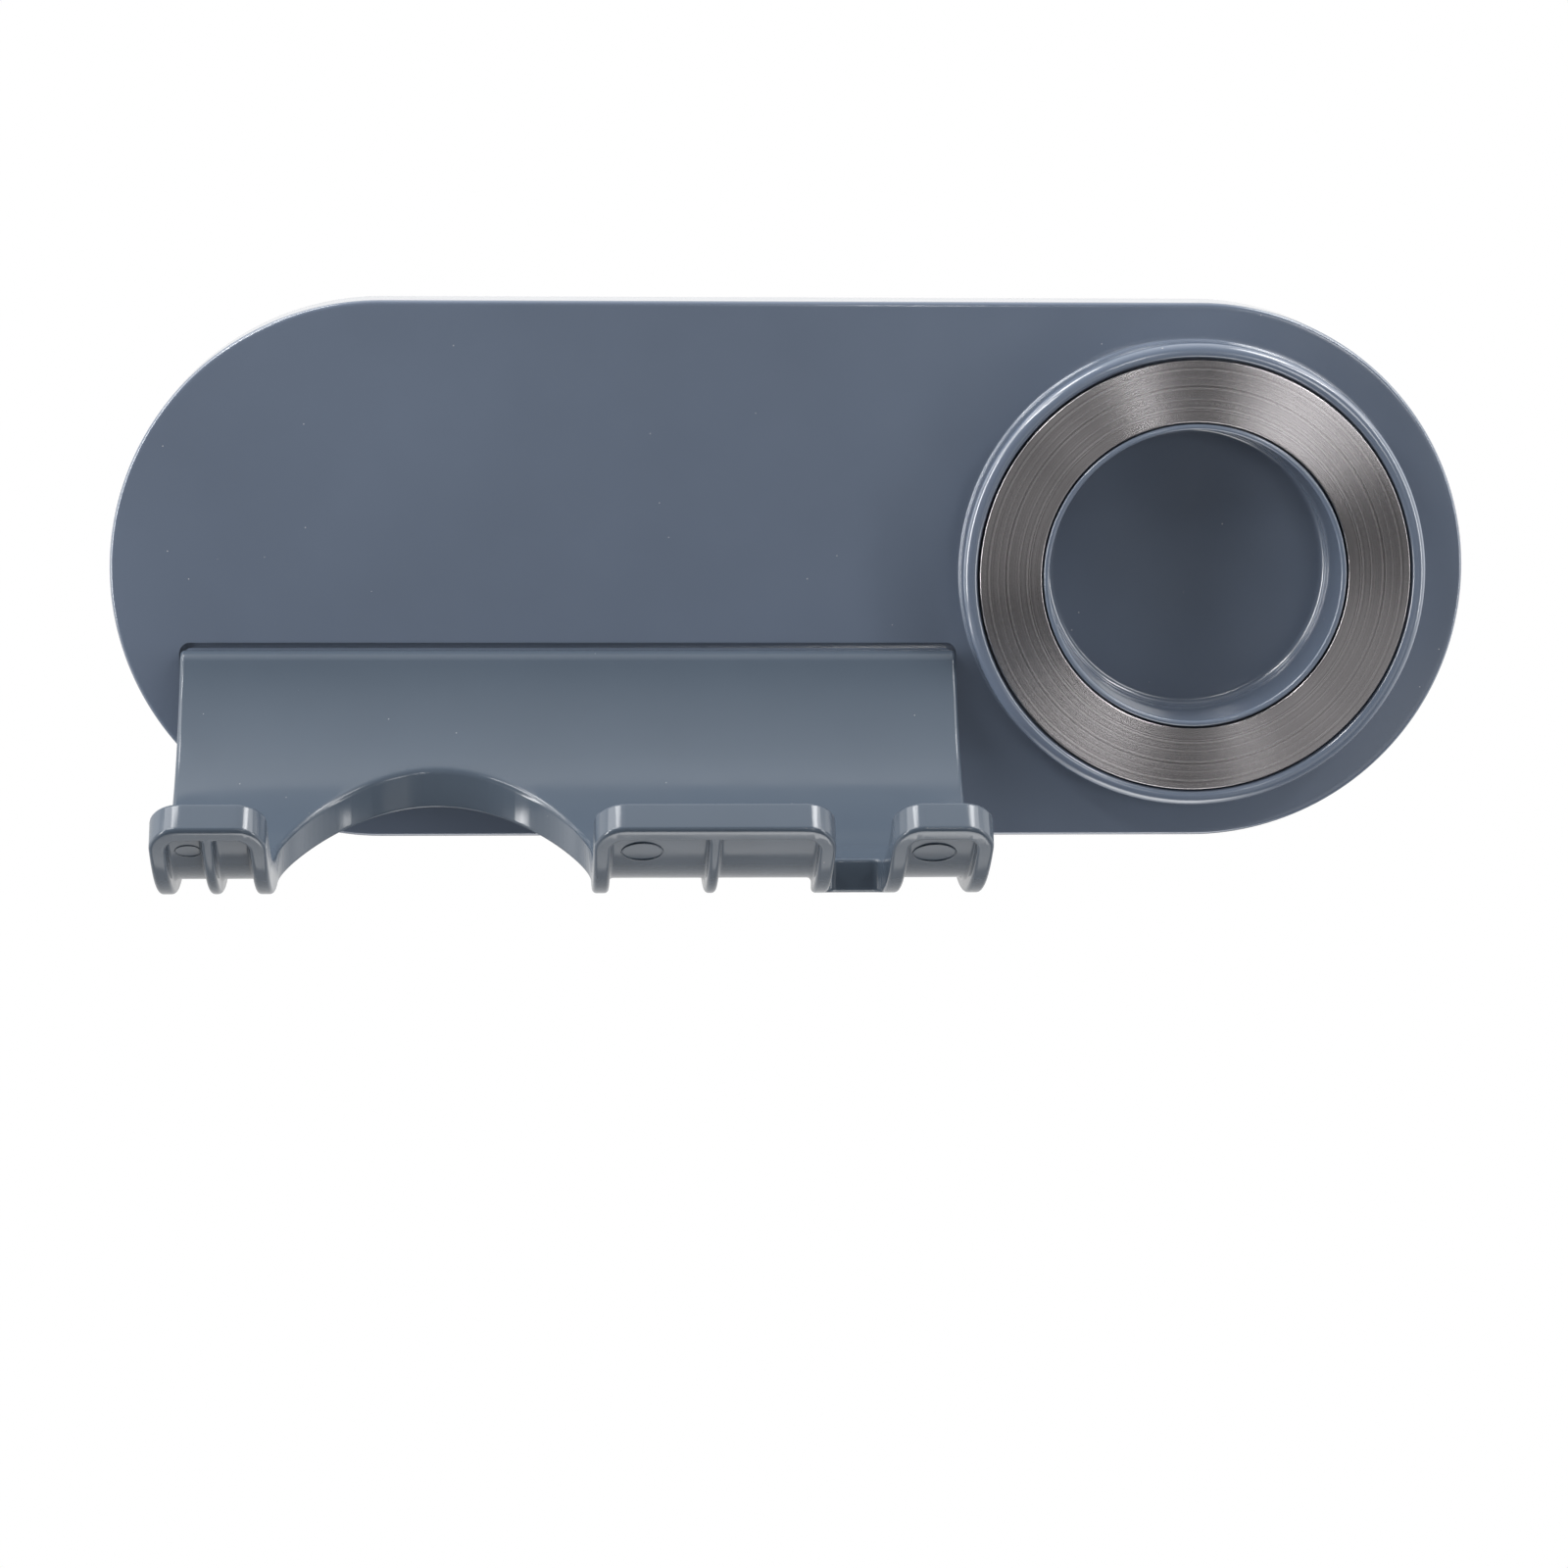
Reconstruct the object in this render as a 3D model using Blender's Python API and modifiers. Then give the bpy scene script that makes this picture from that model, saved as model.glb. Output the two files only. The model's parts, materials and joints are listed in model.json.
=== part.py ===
"""Wall-mounted hair dryer holder, modelled as the pieces it is assembled from.

Units are metres. The wall is the plane Y = 0, the holder stands out towards -Y, and +Z is up.
Every piece is modelled face on, lying on its back: x runs to the right, y runs up the wall
and z is the distance out from the wall. One parent empty then stands the whole holder up.
"""

from math import acos, asin, atan2, cos, hypot, pi, radians, sin, sqrt

import bmesh
import bpy

# Fits between pieces
SEAT_GAP = 0.0003
SCREW_CLEARANCE = 0.0003
COVER_CLEARANCE = 0.0003

# Front shell: an oblong tray with round ends, open at the back
PLATE_LENGTH = 0.2264
PLATE_HEIGHT = 0.0900
SHELL_DEPTH = 0.0100
SHELL_WALL = 0.0025
PLATE_EDGE_ROUND = 0.0015

# Collar and nozzle cup, moulded with the front shell
CUP_FROM_END = 0.0460
COLLAR_HEIGHT = 0.0070
COLLAR_WALL = 0.0020
COLLAR_RIM = 0.0025
COLLAR_EDGE_ROUND = 0.0010
GROOVE_FLOOR = 0.0018
LIP_WIDTH = 0.0010
CUP_WALL = 0.0016
CUP_FLOOR = 0.0017
CUP_TAPER = 0.0006

# Steel ring and the tape that holds it
RING_OUTER_RADIUS = 0.0360
RING_INNER_RADIUS = 0.0257
RING_THICKNESS = 0.0012
RING_CHAMFER = 0.0002
RING_SIDE_GAP = 0.0003
TAPE_THICKNESS = 0.0005
TAPE_MARGIN = 0.0008

# Cradle: a curved shell with a rim round its outside
CRADLE_FROM_END = 0.0118
CRADLE_COLLAR_GAP = 0.0008
CRADLE_TOP_Z = -0.0125
TROUGH_RADIUS = 0.0440
TROUGH_CENTRE_Z = 0.0041
TAB_END_ANGLE = radians(47.2)
CRADLE_SKIN = 0.0030
RIM_HEIGHT = 0.0024
RIM_WIDTH = 0.0026
CRADLE_EDGE_ROUND = 0.0008
TAB_CORNER_RADIUS = 0.0048
NOTCH_FROM_LEFT = 0.0428
NOTCH_RADIUS = 0.0249
NOTCH_CENTRE_REACH = 0.0420
SLOT_FROM_RIGHT = 0.0199
SLOT_WIDTH = 0.0086
SLOT_BACK_REACH = 0.0520
SLOT_CORNER_RADIUS = 0.0015
RIB_WIDTH = 0.0018
RIB_SETBACK = 0.0005
GUSSET_WIDTH = 0.0030
GUSSET_SETBACK = 0.0005
GUSSET_FOOT_Z = -0.0310

# Screws that hold the cradle to the shell, driven from inside
CRADLE_SCREW_RADIUS = 0.0015
CRADLE_SCREW_HEAD_RADIUS = 0.0029
CRADLE_SCREW_HEAD_HEIGHT = 0.0020
CRADLE_SCREW_REACH = 0.0075
CRADLE_SCREW_DROP = 0.0125
CRADLE_BOSS_RADIUS = 0.0040
PILOT_END_ROOM = 0.0008

# Rear cover, its screws and their bosses
COVER_THICKNESS = 0.0020
COVER_SCREW_RADIUS = 0.0012
COVER_SCREW_HEAD_RADIUS = 0.0026
COVER_SCREW_HEAD_HEIGHT = 0.0012
COVER_SCREW_LENGTH = 0.0062
COVER_BOSS_RADIUS = 0.0032
COVER_BOSS_FROM_EDGE = 0.0110
COVER_TOP_BOSSES_X = (-0.0600, 0.0100)
COVER_BOTTOM_BOSS_X = -0.0360
COVER_CUP_BOSS_ANGLE = radians(35.0)

# Adhesive pads on the wall side
PAD_THICKNESS = 0.0008
PAD_LENGTH = 0.0440
PAD_HEIGHT = 0.0480
PAD_CORNER_RADIUS = 0.0040
PAD_FROM_END = 0.0532

# How finely round shapes are divided
END_STEPS = 24
COLLAR_STEPS = 56
CORNER_STEPS = 5
NOTCH_STEPS = 22
BEND_STEPS = 22
SCREW_STEPS = 12
ROUND_STEPS = 3
WELD_DISTANCE = 0.000001
EMBED = 0.0005
SHARP_ANGLE = radians(32.0)
FLAT_ANGLE = radians(0.5)

# Distances out from the wall
SHELL_BACK = PAD_THICKNESS + SEAT_GAP
PLATE_FRONT = SHELL_BACK + SHELL_DEPTH
PLATE_INSIDE = PLATE_FRONT - SHELL_WALL
COVER_FRONT = SHELL_BACK + COVER_THICKNESS
COLLAR_FRONT = PLATE_FRONT + COLLAR_HEIGHT
CUP_FLOOR_BACK = COVER_FRONT + SEAT_GAP
CUP_FLOOR_FRONT = CUP_FLOOR_BACK + CUP_FLOOR
RING_BACK = COLLAR_FRONT - RING_THICKNESS
TAPE_BACK = RING_BACK - SEAT_GAP - TAPE_THICKNESS
GROOVE_BACK = TAPE_BACK - SEAT_GAP
COLLAR_INSIDE = GROOVE_BACK - GROOVE_FLOOR
CRADLE_BACK = PLATE_FRONT + SEAT_GAP
TROUGH_CENTRE_OUT = PLATE_FRONT + TROUGH_RADIUS

# Places and radii that follow from the sizes above
CUP_X = PLATE_LENGTH / 2 - CUP_FROM_END
GROOVE_INNER_RADIUS = RING_INNER_RADIUS - RING_SIDE_GAP
GROOVE_OUTER_RADIUS = RING_OUTER_RADIUS + RING_SIDE_GAP
COLLAR_RADIUS = GROOVE_OUTER_RADIUS + COLLAR_RIM
CUP_MOUTH_RADIUS = GROOVE_INNER_RADIUS - LIP_WIDTH
CUP_FLOOR_RADIUS = CUP_MOUTH_RADIUS - CUP_TAPER
GROOVE_MIDDLE_RADIUS = (GROOVE_INNER_RADIUS + GROOVE_OUTER_RADIUS) / 2
CRADLE_LEFT = CRADLE_FROM_END - PLATE_LENGTH / 2
CRADLE_RIGHT = CUP_X - COLLAR_RADIUS - CRADLE_COLLAR_GAP
NOTCH_X = CRADLE_LEFT + NOTCH_FROM_LEFT
NOTCH_LEFT = NOTCH_X - NOTCH_RADIUS
NOTCH_RIGHT = NOTCH_X + NOTCH_RADIUS
SLOT_X = CRADLE_RIGHT - SLOT_FROM_RIGHT
SLOT_LEFT = SLOT_X - SLOT_WIDTH / 2
SLOT_RIGHT = SLOT_X + SLOT_WIDTH / 2
LEFT_TAB_X = (CRADLE_LEFT + NOTCH_LEFT) / 2
MIDDLE_TAB_X = (NOTCH_RIGHT + SLOT_LEFT) / 2
RIGHT_TAB_X = (SLOT_RIGHT + CRADLE_RIGHT) / 2
PAD_SPACING = PLATE_LENGTH / 2 - PAD_FROM_END
CRADLE_THICKNESS = CRADLE_SKIN + RIM_HEIGHT
RIM_RADIUS = TROUGH_RADIUS + CRADLE_THICKNESS
SKIN_MIDDLE_RADIUS = TROUGH_RADIUS + CRADLE_SKIN / 2
TOP_ANGLE = -acos((TROUGH_CENTRE_Z - CRADLE_TOP_Z) / TROUGH_RADIUS)
CRADLE_SCREW_Z = CRADLE_TOP_Z - CRADLE_SCREW_DROP


def clear_scene():
    for old in list(bpy.data.objects):
        bpy.data.objects.remove(old, do_unlink=True)


def new_collection(name):
    collection = bpy.data.collections.new(name)
    bpy.context.scene.collection.children.link(collection)
    return collection


clear_scene()
PIECES = new_collection("hair_dryer_holder")
TOOLS = new_collection("cutters_and_additions")

STAND = bpy.data.objects.new("wall_frame", None)
STAND.rotation_euler = (pi / 2, 0.0, 0.0)
PIECES.objects.link(STAND)


def finish(name, colour, roughness, metallic):
    """A plain surface material for one piece."""
    material = bpy.data.materials.new(name + "_finish")
    material.use_nodes = True
    shader = material.node_tree.nodes["Principled BSDF"]
    shader.inputs["Base Color"].default_value = (*colour, 1.0)
    shader.inputs["Roughness"].default_value = roughness
    shader.inputs["Metallic"].default_value = metallic
    return material


def place(name, mesh, location=(0.0, 0.0, 0.0), rotation=(0.0, 0.0, 0.0)):
    """Put a mesh in the holder's frame as a helper shape, until it is made a piece."""
    shape = bpy.data.objects.new(name, mesh)
    shape.parent = STAND
    shape.location = location
    shape.rotation_euler = rotation
    shape.hide_render = True
    shape.display_type = "WIRE"
    TOOLS.objects.link(shape)
    return shape


def make_piece(shape, colour, roughness, metallic):
    """Turn a helper shape into a finished piece of the holder."""
    TOOLS.objects.unlink(shape)
    PIECES.objects.link(shape)
    shape.hide_render = False
    shape.display_type = "TEXTURED"
    shape.data.materials.clear()
    shape.data.materials.append(finish(shape.name, colour, roughness, metallic))
    shape.data.shade_smooth()
    shape.data.set_sharp_from_angle(angle=SHARP_ANGLE)
    return shape


def combine(shape, other, operation):
    modifier = shape.modifiers.new(operation.lower() + "_" + other.name, "BOOLEAN")
    modifier.operation = operation
    modifier.object = other


def combine_all(shape, others, operation, name):
    """Join or cut with several shapes in one step."""
    group = bpy.data.collections.new(name)
    TOOLS.children.link(group)
    for other in others:
        group.objects.link(other)
    modifier = shape.modifiers.new(name, "BOOLEAN")
    modifier.operation = operation
    modifier.operand_type = "COLLECTION"
    modifier.collection = group


def arc(centre, radius, start, end, steps):
    """Points on a circle from one angle to another, both ends included."""
    points = []
    for step in range(steps + 1):
        angle = start + (end - start) * step / steps
        points.append((centre[0] + radius * cos(angle), centre[1] + radius * sin(angle)))
    return points


def oblong(length, height):
    """An outline with two straight sides and two half-round ends."""
    radius = height / 2
    reach = length / 2 - radius
    right_end = arc((reach, 0.0), radius, -pi / 2, pi / 2, END_STEPS)
    left_end = arc((-reach, 0.0), radius, pi / 2, 3 * pi / 2, END_STEPS)
    return right_end + left_end


def round_rectangle(length, height, radius):
    outline = []
    corners = ((1, -1, -pi / 2), (1, 1, 0.0), (-1, 1, pi / 2), (-1, -1, pi))
    for side_x, side_y, start in corners:
        centre = (side_x * (length / 2 - radius), side_y * (height / 2 - radius))
        outline += arc(centre, radius, start, start + pi / 2, CORNER_STEPS)
    return outline


def slab_mesh(name, outline, thickness):
    """A flat outline with thickness, centred on its own plane, as a closed mesh."""
    curve = bpy.data.curves.new(name + "_outline", "CURVE")
    curve.dimensions = "2D"
    curve.fill_mode = "BOTH"
    curve.extrude = thickness / 2
    spline = curve.splines.new("POLY")
    spline.points.add(len(outline) - 1)
    for point, (x, y) in zip(spline.points, outline):
        point.co = (x, y, 0.0, 1.0)
    spline.use_cyclic_u = True
    drawn = bpy.data.objects.new(name + "_outline", curve)
    TOOLS.objects.link(drawn)
    graph = bpy.context.evaluated_depsgraph_get()
    mesh = bpy.data.meshes.new_from_object(drawn.evaluated_get(graph))
    mesh.name = name
    bpy.data.objects.remove(drawn, do_unlink=True)
    shape = bmesh.new()
    shape.from_mesh(mesh)
    bmesh.ops.remove_doubles(shape, verts=shape.verts, dist=WELD_DISTANCE)
    bmesh.ops.dissolve_limit(shape, angle_limit=FLAT_ANGLE, verts=shape.verts, edges=shape.edges)
    bmesh.ops.recalc_face_normals(shape, faces=shape.faces)
    shape.to_mesh(mesh)
    shape.free()
    return mesh


def slab(name, outline, back, front, centre=(0.0, 0.0)):
    """A flat outline that fills the distances from back to front."""
    mesh = slab_mesh(name, outline, front - back)
    return place(name, mesh, (centre[0], centre[1], (back + front) / 2))


def side_plate(name, outline, left, right):
    """An outline drawn from the side, as (out from the wall, up), with its width along x."""
    mesh = slab_mesh(name, outline, right - left)
    return place(name, mesh, ((left + right) / 2, 0.0, 0.0), (0.0, -pi / 2, 0.0))


def turned(name, profile, centre, steps, ring=False):
    """A profile of (radius, out from the wall) points turned about an axis square to the wall."""
    shape = bmesh.new()
    points = [shape.verts.new((radius, 0.0, out)) for radius, out in profile]
    for first, second in zip(points, points[1:]):
        shape.edges.new((first, second))
    if ring:
        shape.edges.new((points[-1], points[0]))
    mesh = bpy.data.meshes.new(name)
    shape.to_mesh(mesh)
    shape.free()
    result = place(name, mesh, (centre[0], centre[1], 0.0))
    screw = result.modifiers.new("turn", "SCREW")
    screw.axis = "Z"
    screw.angle = 2 * pi
    screw.steps = steps
    screw.render_steps = steps
    screw.use_merge_vertices = True
    screw.merge_threshold = WELD_DISTANCE
    screw.use_smooth_shade = True
    return result


def rod(name, radius, back, front, centre, steps=SCREW_STEPS):
    """A plain round bar square to the wall."""
    profile = ((0.0, front), (radius, front), (radius, back), (0.0, back))
    return turned(name, profile, centre, steps)


def round_front_edge(mesh, width):
    """Round the edge where the sides of a slab meet its front face."""
    shape = bmesh.new()
    shape.from_mesh(mesh)
    front = max(vertex.co.z for vertex in shape.verts)
    rim = []
    for edge in shape.edges:
        on_front = all(abs(vertex.co.z - front) < WELD_DISTANCE for vertex in edge.verts)
        if on_front and edge.calc_face_angle() > SHARP_ANGLE:
            rim.append(edge)
    bmesh.ops.bevel(shape, geom=rim, offset=width, segments=ROUND_STEPS, profile=0.5, affect="EDGES")
    shape.to_mesh(mesh)
    shape.free()


def cover_boss_places():
    """Where the rear cover is screwed on, with the depth that each boss grows from."""
    side = PLATE_HEIGHT / 2 - COVER_BOSS_FROM_EDGE
    end = PLATE_LENGTH / 2 - COVER_BOSS_FROM_EDGE
    places = [((-end, 0.0), PLATE_INSIDE)]
    for x in COVER_TOP_BOSSES_X:
        places.append(((x, side), PLATE_INSIDE))
    places.append(((COVER_BOTTOM_BOSS_X, -side), PLATE_INSIDE))
    for angle in (COVER_CUP_BOSS_ANGLE, -COVER_CUP_BOSS_ANGLE):
        x = CUP_X + GROOVE_MIDDLE_RADIUS * cos(angle)
        places.append(((x, GROOVE_MIDDLE_RADIUS * sin(angle)), COLLAR_INSIDE))
    return places


def cradle_screw_places():
    """One screw behind each tab, and one behind the handle notch."""
    return [(x, CRADLE_SCREW_Z) for x in (LEFT_TAB_X, NOTCH_X, MIDDLE_TAB_X, RIGHT_TAB_X)]


def collar_and_cup():
    """The collar, ring groove, inner lip and cup as one turned wall."""
    lip_round = LIP_WIDTH / 2
    lip_centre = (CUP_MOUTH_RADIUS + lip_round, COLLAR_FRONT - lip_round)
    lip = arc(lip_centre, lip_round, pi, 0.0, 2 * ROUND_STEPS)
    corner = (COLLAR_RADIUS - COLLAR_EDGE_ROUND, COLLAR_FRONT - COLLAR_EDGE_ROUND)
    collar_edge = arc(corner, COLLAR_EDGE_ROUND, pi / 2, 0.0, ROUND_STEPS)
    inside_radius = COLLAR_RADIUS - COLLAR_WALL
    profile = [(0.0, CUP_FLOOR_FRONT), (CUP_FLOOR_RADIUS, CUP_FLOOR_FRONT)]
    profile += lip
    profile += [(GROOVE_INNER_RADIUS, GROOVE_BACK), (GROOVE_OUTER_RADIUS, GROOVE_BACK)]
    profile += [(GROOVE_OUTER_RADIUS, COLLAR_FRONT)]
    profile += collar_edge
    profile += [(COLLAR_RADIUS, PLATE_INSIDE - EMBED), (inside_radius, PLATE_INSIDE - EMBED)]
    profile += [(inside_radius, COLLAR_INSIDE), (CUP_MOUTH_RADIUS + CUP_WALL, COLLAR_INSIDE)]
    profile += [(CUP_FLOOR_RADIUS + CUP_WALL, CUP_FLOOR_BACK), (0.0, CUP_FLOOR_BACK)]
    return turned("collar_and_cup", profile, (CUP_X, 0.0), COLLAR_STEPS)


def front_shell():
    shell = slab("front_shell", oblong(PLATE_LENGTH, PLATE_HEIGHT), SHELL_BACK, PLATE_FRONT)
    round_front_edge(shell.data, PLATE_EDGE_ROUND)
    inner = oblong(PLATE_LENGTH - 2 * SHELL_WALL, PLATE_HEIGHT - 2 * SHELL_WALL)
    combine(shell, slab("shell_hollow", inner, SHELL_BACK - EMBED, PLATE_INSIDE), "DIFFERENCE")
    opening_radius = COLLAR_RADIUS - COLLAR_WALL / 2
    opening_back = PLATE_INSIDE - EMBED / 2
    opening = rod("collar_opening", opening_radius, opening_back, COLLAR_FRONT, (CUP_X, 0.0), COLLAR_STEPS)
    combine(shell, opening, "DIFFERENCE")
    combine(shell, collar_and_cup(), "UNION")
    boss_back = COVER_FRONT + SEAT_GAP
    hole_radius = COVER_SCREW_RADIUS + SCREW_CLEARANCE
    hole_front = SHELL_BACK + COVER_SCREW_LENGTH + PILOT_END_ROOM
    bosses = []
    holes = []
    for number, (centre, root) in enumerate(cover_boss_places(), 1):
        bosses.append(rod(f"cover_boss_{number}", COVER_BOSS_RADIUS, boss_back, root + EMBED, centre))
        holes.append(rod(f"cover_pilot_{number}", hole_radius, SHELL_BACK, hole_front, centre))
    wall_hole = CRADLE_SCREW_RADIUS + SCREW_CLEARANCE
    for number, centre in enumerate(cradle_screw_places(), 1):
        holes.append(rod(f"shell_hole_{number}", wall_hole, COVER_FRONT, PLATE_FRONT + EMBED, centre))
    combine_all(shell, bosses, "UNION", "cover_bosses")
    combine_all(shell, holes, "DIFFERENCE", "shell_holes")
    make_piece(shell, (0.118, 0.146, 0.198), 0.16, 0.0)


def steel_ring():
    inner = RING_INNER_RADIUS
    outer = RING_OUTER_RADIUS
    profile = (
        (inner, COLLAR_FRONT - RING_CHAMFER),
        (inner + RING_CHAMFER, COLLAR_FRONT),
        (outer - RING_CHAMFER, COLLAR_FRONT),
        (outer, COLLAR_FRONT - RING_CHAMFER),
        (outer, RING_BACK),
        (inner, RING_BACK),
    )
    ring = turned("steel_ring", profile, (CUP_X, 0.0), COLLAR_STEPS, ring=True)
    make_piece(ring, (0.46, 0.44, 0.45), 0.31, 1.0)


def ring_tape():
    inner = RING_INNER_RADIUS + TAPE_MARGIN
    outer = RING_OUTER_RADIUS - TAPE_MARGIN
    front = TAPE_BACK + TAPE_THICKNESS
    profile = ((inner, front), (outer, front), (outer, TAPE_BACK), (inner, TAPE_BACK))
    tape = turned("ring_tape", profile, (CUP_X, 0.0), COLLAR_STEPS, ring=True)
    make_piece(tape, (0.05, 0.05, 0.05), 0.8, 0.0)


def reach_to_arc_length(reach):
    """Length along the trough, from its lowest line, to a distance out from the plate."""
    return TROUGH_RADIUS * asin((reach - TROUGH_RADIUS) / TROUGH_RADIUS)


def cradle_outline():
    """The cradle rolled out flat: x along the wall, y along the trough from its lowest line."""
    top = TROUGH_RADIUS * TOP_ANGLE
    end = TROUGH_RADIUS * TAB_END_ANGLE
    corner = TAB_CORNER_RADIUS
    slot_back = reach_to_arc_length(SLOT_BACK_REACH) + SLOT_CORNER_RADIUS

    def tab_end(left, right):
        right_corner = arc((right - corner, end - corner), corner, 0.0, pi / 2, CORNER_STEPS)
        left_corner = arc((left + corner, end - corner), corner, pi / 2, pi, CORNER_STEPS)
        return right_corner + left_corner

    outline = [(CRADLE_LEFT, top), (CRADLE_RIGHT, top)]
    outline += tab_end(SLOT_RIGHT, CRADLE_RIGHT)
    slot_corner = SLOT_CORNER_RADIUS
    outline += arc((SLOT_RIGHT - slot_corner, slot_back), slot_corner, 0.0, -pi / 2, ROUND_STEPS)
    outline += arc((SLOT_LEFT + slot_corner, slot_back), slot_corner, -pi / 2, -pi, ROUND_STEPS)
    outline += tab_end(NOTCH_RIGHT, SLOT_LEFT)
    for x, reach in arc((NOTCH_X, NOTCH_CENTRE_REACH), NOTCH_RADIUS, 0.0, -pi, NOTCH_STEPS):
        outline.append((x, reach_to_arc_length(reach)))
    outline += tab_end(CRADLE_LEFT, NOTCH_LEFT)
    return outline


def upright_share(angle):
    """How far a cut is upright: wholly at the notch and slot, not at the tab ends or the top."""
    front = (TAB_END_ANGLE - angle) / (TAB_END_ANGLE / 2)
    back = (angle - TOP_ANGLE) / (-TOP_ANGLE / 3)
    share = max(0.0, min(1.0, front, back))
    return share * share * (3 - 2 * share)


def bend_into_trough(point):
    """Roll a point of the flat cradle onto the trough's round surface."""
    angle = point.y / TROUGH_RADIUS
    radius = TROUGH_RADIUS + point.z
    upright = asin(TROUGH_RADIUS * sin(angle) / radius)
    share = upright_share(angle)
    turned_angle = (1 - share) * angle + share * upright
    point.z = TROUGH_CENTRE_OUT + radius * sin(turned_angle)
    point.y = TROUGH_CENTRE_Z - radius * cos(turned_angle)


def cradle_shell():
    """The curved shell with a raised rim round its outer side."""
    mesh = slab_mesh("cradle", cradle_outline(), CRADLE_THICKNESS)
    shape = bmesh.new()
    shape.from_mesh(mesh)
    for vertex in shape.verts:
        vertex.co.z += CRADLE_THICKNESS / 2
    outside = [max(shape.faces, key=lambda face: face.calc_center_median().z)]
    bmesh.ops.inset_region(shape, faces=outside, thickness=RIM_WIDTH, use_even_offset=True)
    lifted = bmesh.ops.extrude_face_region(shape, geom=outside)
    floor = [item for item in lifted["geom"] if isinstance(item, bmesh.types.BMVert)]
    bmesh.ops.translate(shape, verts=floor, vec=(0.0, 0.0, -RIM_HEIGHT))
    bmesh.ops.delete(shape, geom=outside, context="FACES")
    rim = []
    for edge in shape.edges:
        on_inside = all(abs(vertex.co.z) < WELD_DISTANCE for vertex in edge.verts)
        if on_inside and edge.calc_face_angle() > SHARP_ANGLE:
            rim.append(edge)
    width = CRADLE_EDGE_ROUND
    bmesh.ops.bevel(shape, geom=rim, offset=width, segments=2, profile=0.5, affect="EDGES")
    top = TROUGH_RADIUS * TOP_ANGLE
    end = TROUGH_RADIUS * TAB_END_ANGLE
    for step in range(1, BEND_STEPS):
        level = top + (end - top) * step / BEND_STEPS
        everything = list(shape.verts) + list(shape.edges) + list(shape.faces)
        cut_point = (0.0, level, 0.0)
        bmesh.ops.bisect_plane(shape, geom=everything, plane_co=cut_point, plane_no=(0.0, 1.0, 0.0))
    bmesh.ops.triangulate(shape, faces=shape.faces)
    for vertex in shape.verts:
        bend_into_trough(vertex.co)
    bmesh.ops.recalc_face_normals(shape, faces=shape.faces)
    shape.to_mesh(mesh)
    shape.free()
    return place("cradle", mesh)


def trough_arc(radius, start, end):
    """Side-view points on a circle about the trough's centre, by angle from straight down."""
    points = []
    for step in range(BEND_STEPS + 1):
        angle = start + (end - start) * step / BEND_STEPS
        points.append((TROUGH_CENTRE_OUT + radius * sin(angle), TROUGH_CENTRE_Z - radius * cos(angle)))
    return points


def gusset_outline():
    """The end web: up the plate, round inside the skin, and straight back under the trough."""
    foot_out = CRADLE_BACK - TROUGH_CENTRE_OUT
    foot_drop = TROUGH_CENTRE_Z - GUSSET_FOOT_Z
    tangent = atan2(foot_out, foot_drop) + acos(RIM_RADIUS / hypot(foot_out, foot_drop))
    start = TOP_ANGLE + CRADLE_SKIN / TROUGH_RADIUS
    round_part = trough_arc(SKIN_MIDDLE_RADIUS, start, tangent)
    tangent_point = trough_arc(RIM_RADIUS, tangent, tangent)[0]
    return [(CRADLE_BACK, round_part[0][1])] + round_part + [tangent_point, (CRADLE_BACK, GUSSET_FOOT_Z)]


def rib_outline():
    """A rib on the outer side, from the tab's end round to the back."""
    margin = RIM_WIDTH / 2 / TROUGH_RADIUS
    start = TOP_ANGLE / 2
    end = TAB_END_ANGLE - margin
    outer = trough_arc(RIM_RADIUS - RIB_SETBACK, start, end)
    inner = trough_arc(SKIN_MIDDLE_RADIUS, end, start)
    return outer + inner


def cradle():
    shell = cradle_shell()
    gusset_sides = (CRADLE_LEFT + GUSSET_SETBACK, CRADLE_RIGHT - GUSSET_SETBACK - GUSSET_WIDTH)
    webs = []
    for number, left in enumerate(gusset_sides, 1):
        webs.append(side_plate(f"gusset_{number}", gusset_outline(), left, left + GUSSET_WIDTH))
    for number, middle in enumerate((LEFT_TAB_X, MIDDLE_TAB_X), 1):
        left = middle - RIB_WIDTH / 2
        webs.append(side_plate(f"rib_{number}", rib_outline(), left, left + RIB_WIDTH))
    combine_all(shell, webs, "UNION", "cradle_webs")
    barrel_space = trough_arc(SKIN_MIDDLE_RADIUS, -pi, pi)[:-1]
    trough = side_plate("trough_space", barrel_space, CRADLE_LEFT, CRADLE_RIGHT)
    pilot_radius = CRADLE_SCREW_RADIUS + SCREW_CLEARANCE
    pilot_front = PLATE_FRONT + CRADLE_SCREW_REACH + PILOT_END_ROOM
    boss_front = TROUGH_CENTRE_OUT - sqrt(TROUGH_RADIUS ** 2 - (TROUGH_CENTRE_Z - CRADLE_SCREW_Z) ** 2)
    boss_front += CRADLE_BOSS_RADIUS
    bosses = []
    pilots = []
    for number, centre in enumerate(cradle_screw_places(), 1):
        boss = rod(f"cradle_boss_{number}", CRADLE_BOSS_RADIUS, PLATE_INSIDE, boss_front, centre)
        combine(boss, trough, "DIFFERENCE")
        bosses.append(boss)
        pilots.append(rod(f"cradle_pilot_{number}", pilot_radius, PLATE_INSIDE, pilot_front, centre))
    combine_all(shell, bosses, "UNION", "cradle_bosses")
    combine_all(shell, pilots, "DIFFERENCE", "cradle_pilots")
    behind = slab("behind_cradle", oblong(2 * PLATE_LENGTH, 2 * PLATE_HEIGHT), 0.0, CRADLE_BACK)
    combine(shell, behind, "DIFFERENCE")
    make_piece(shell, (0.070, 0.090, 0.118), 0.14, 0.0)


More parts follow.
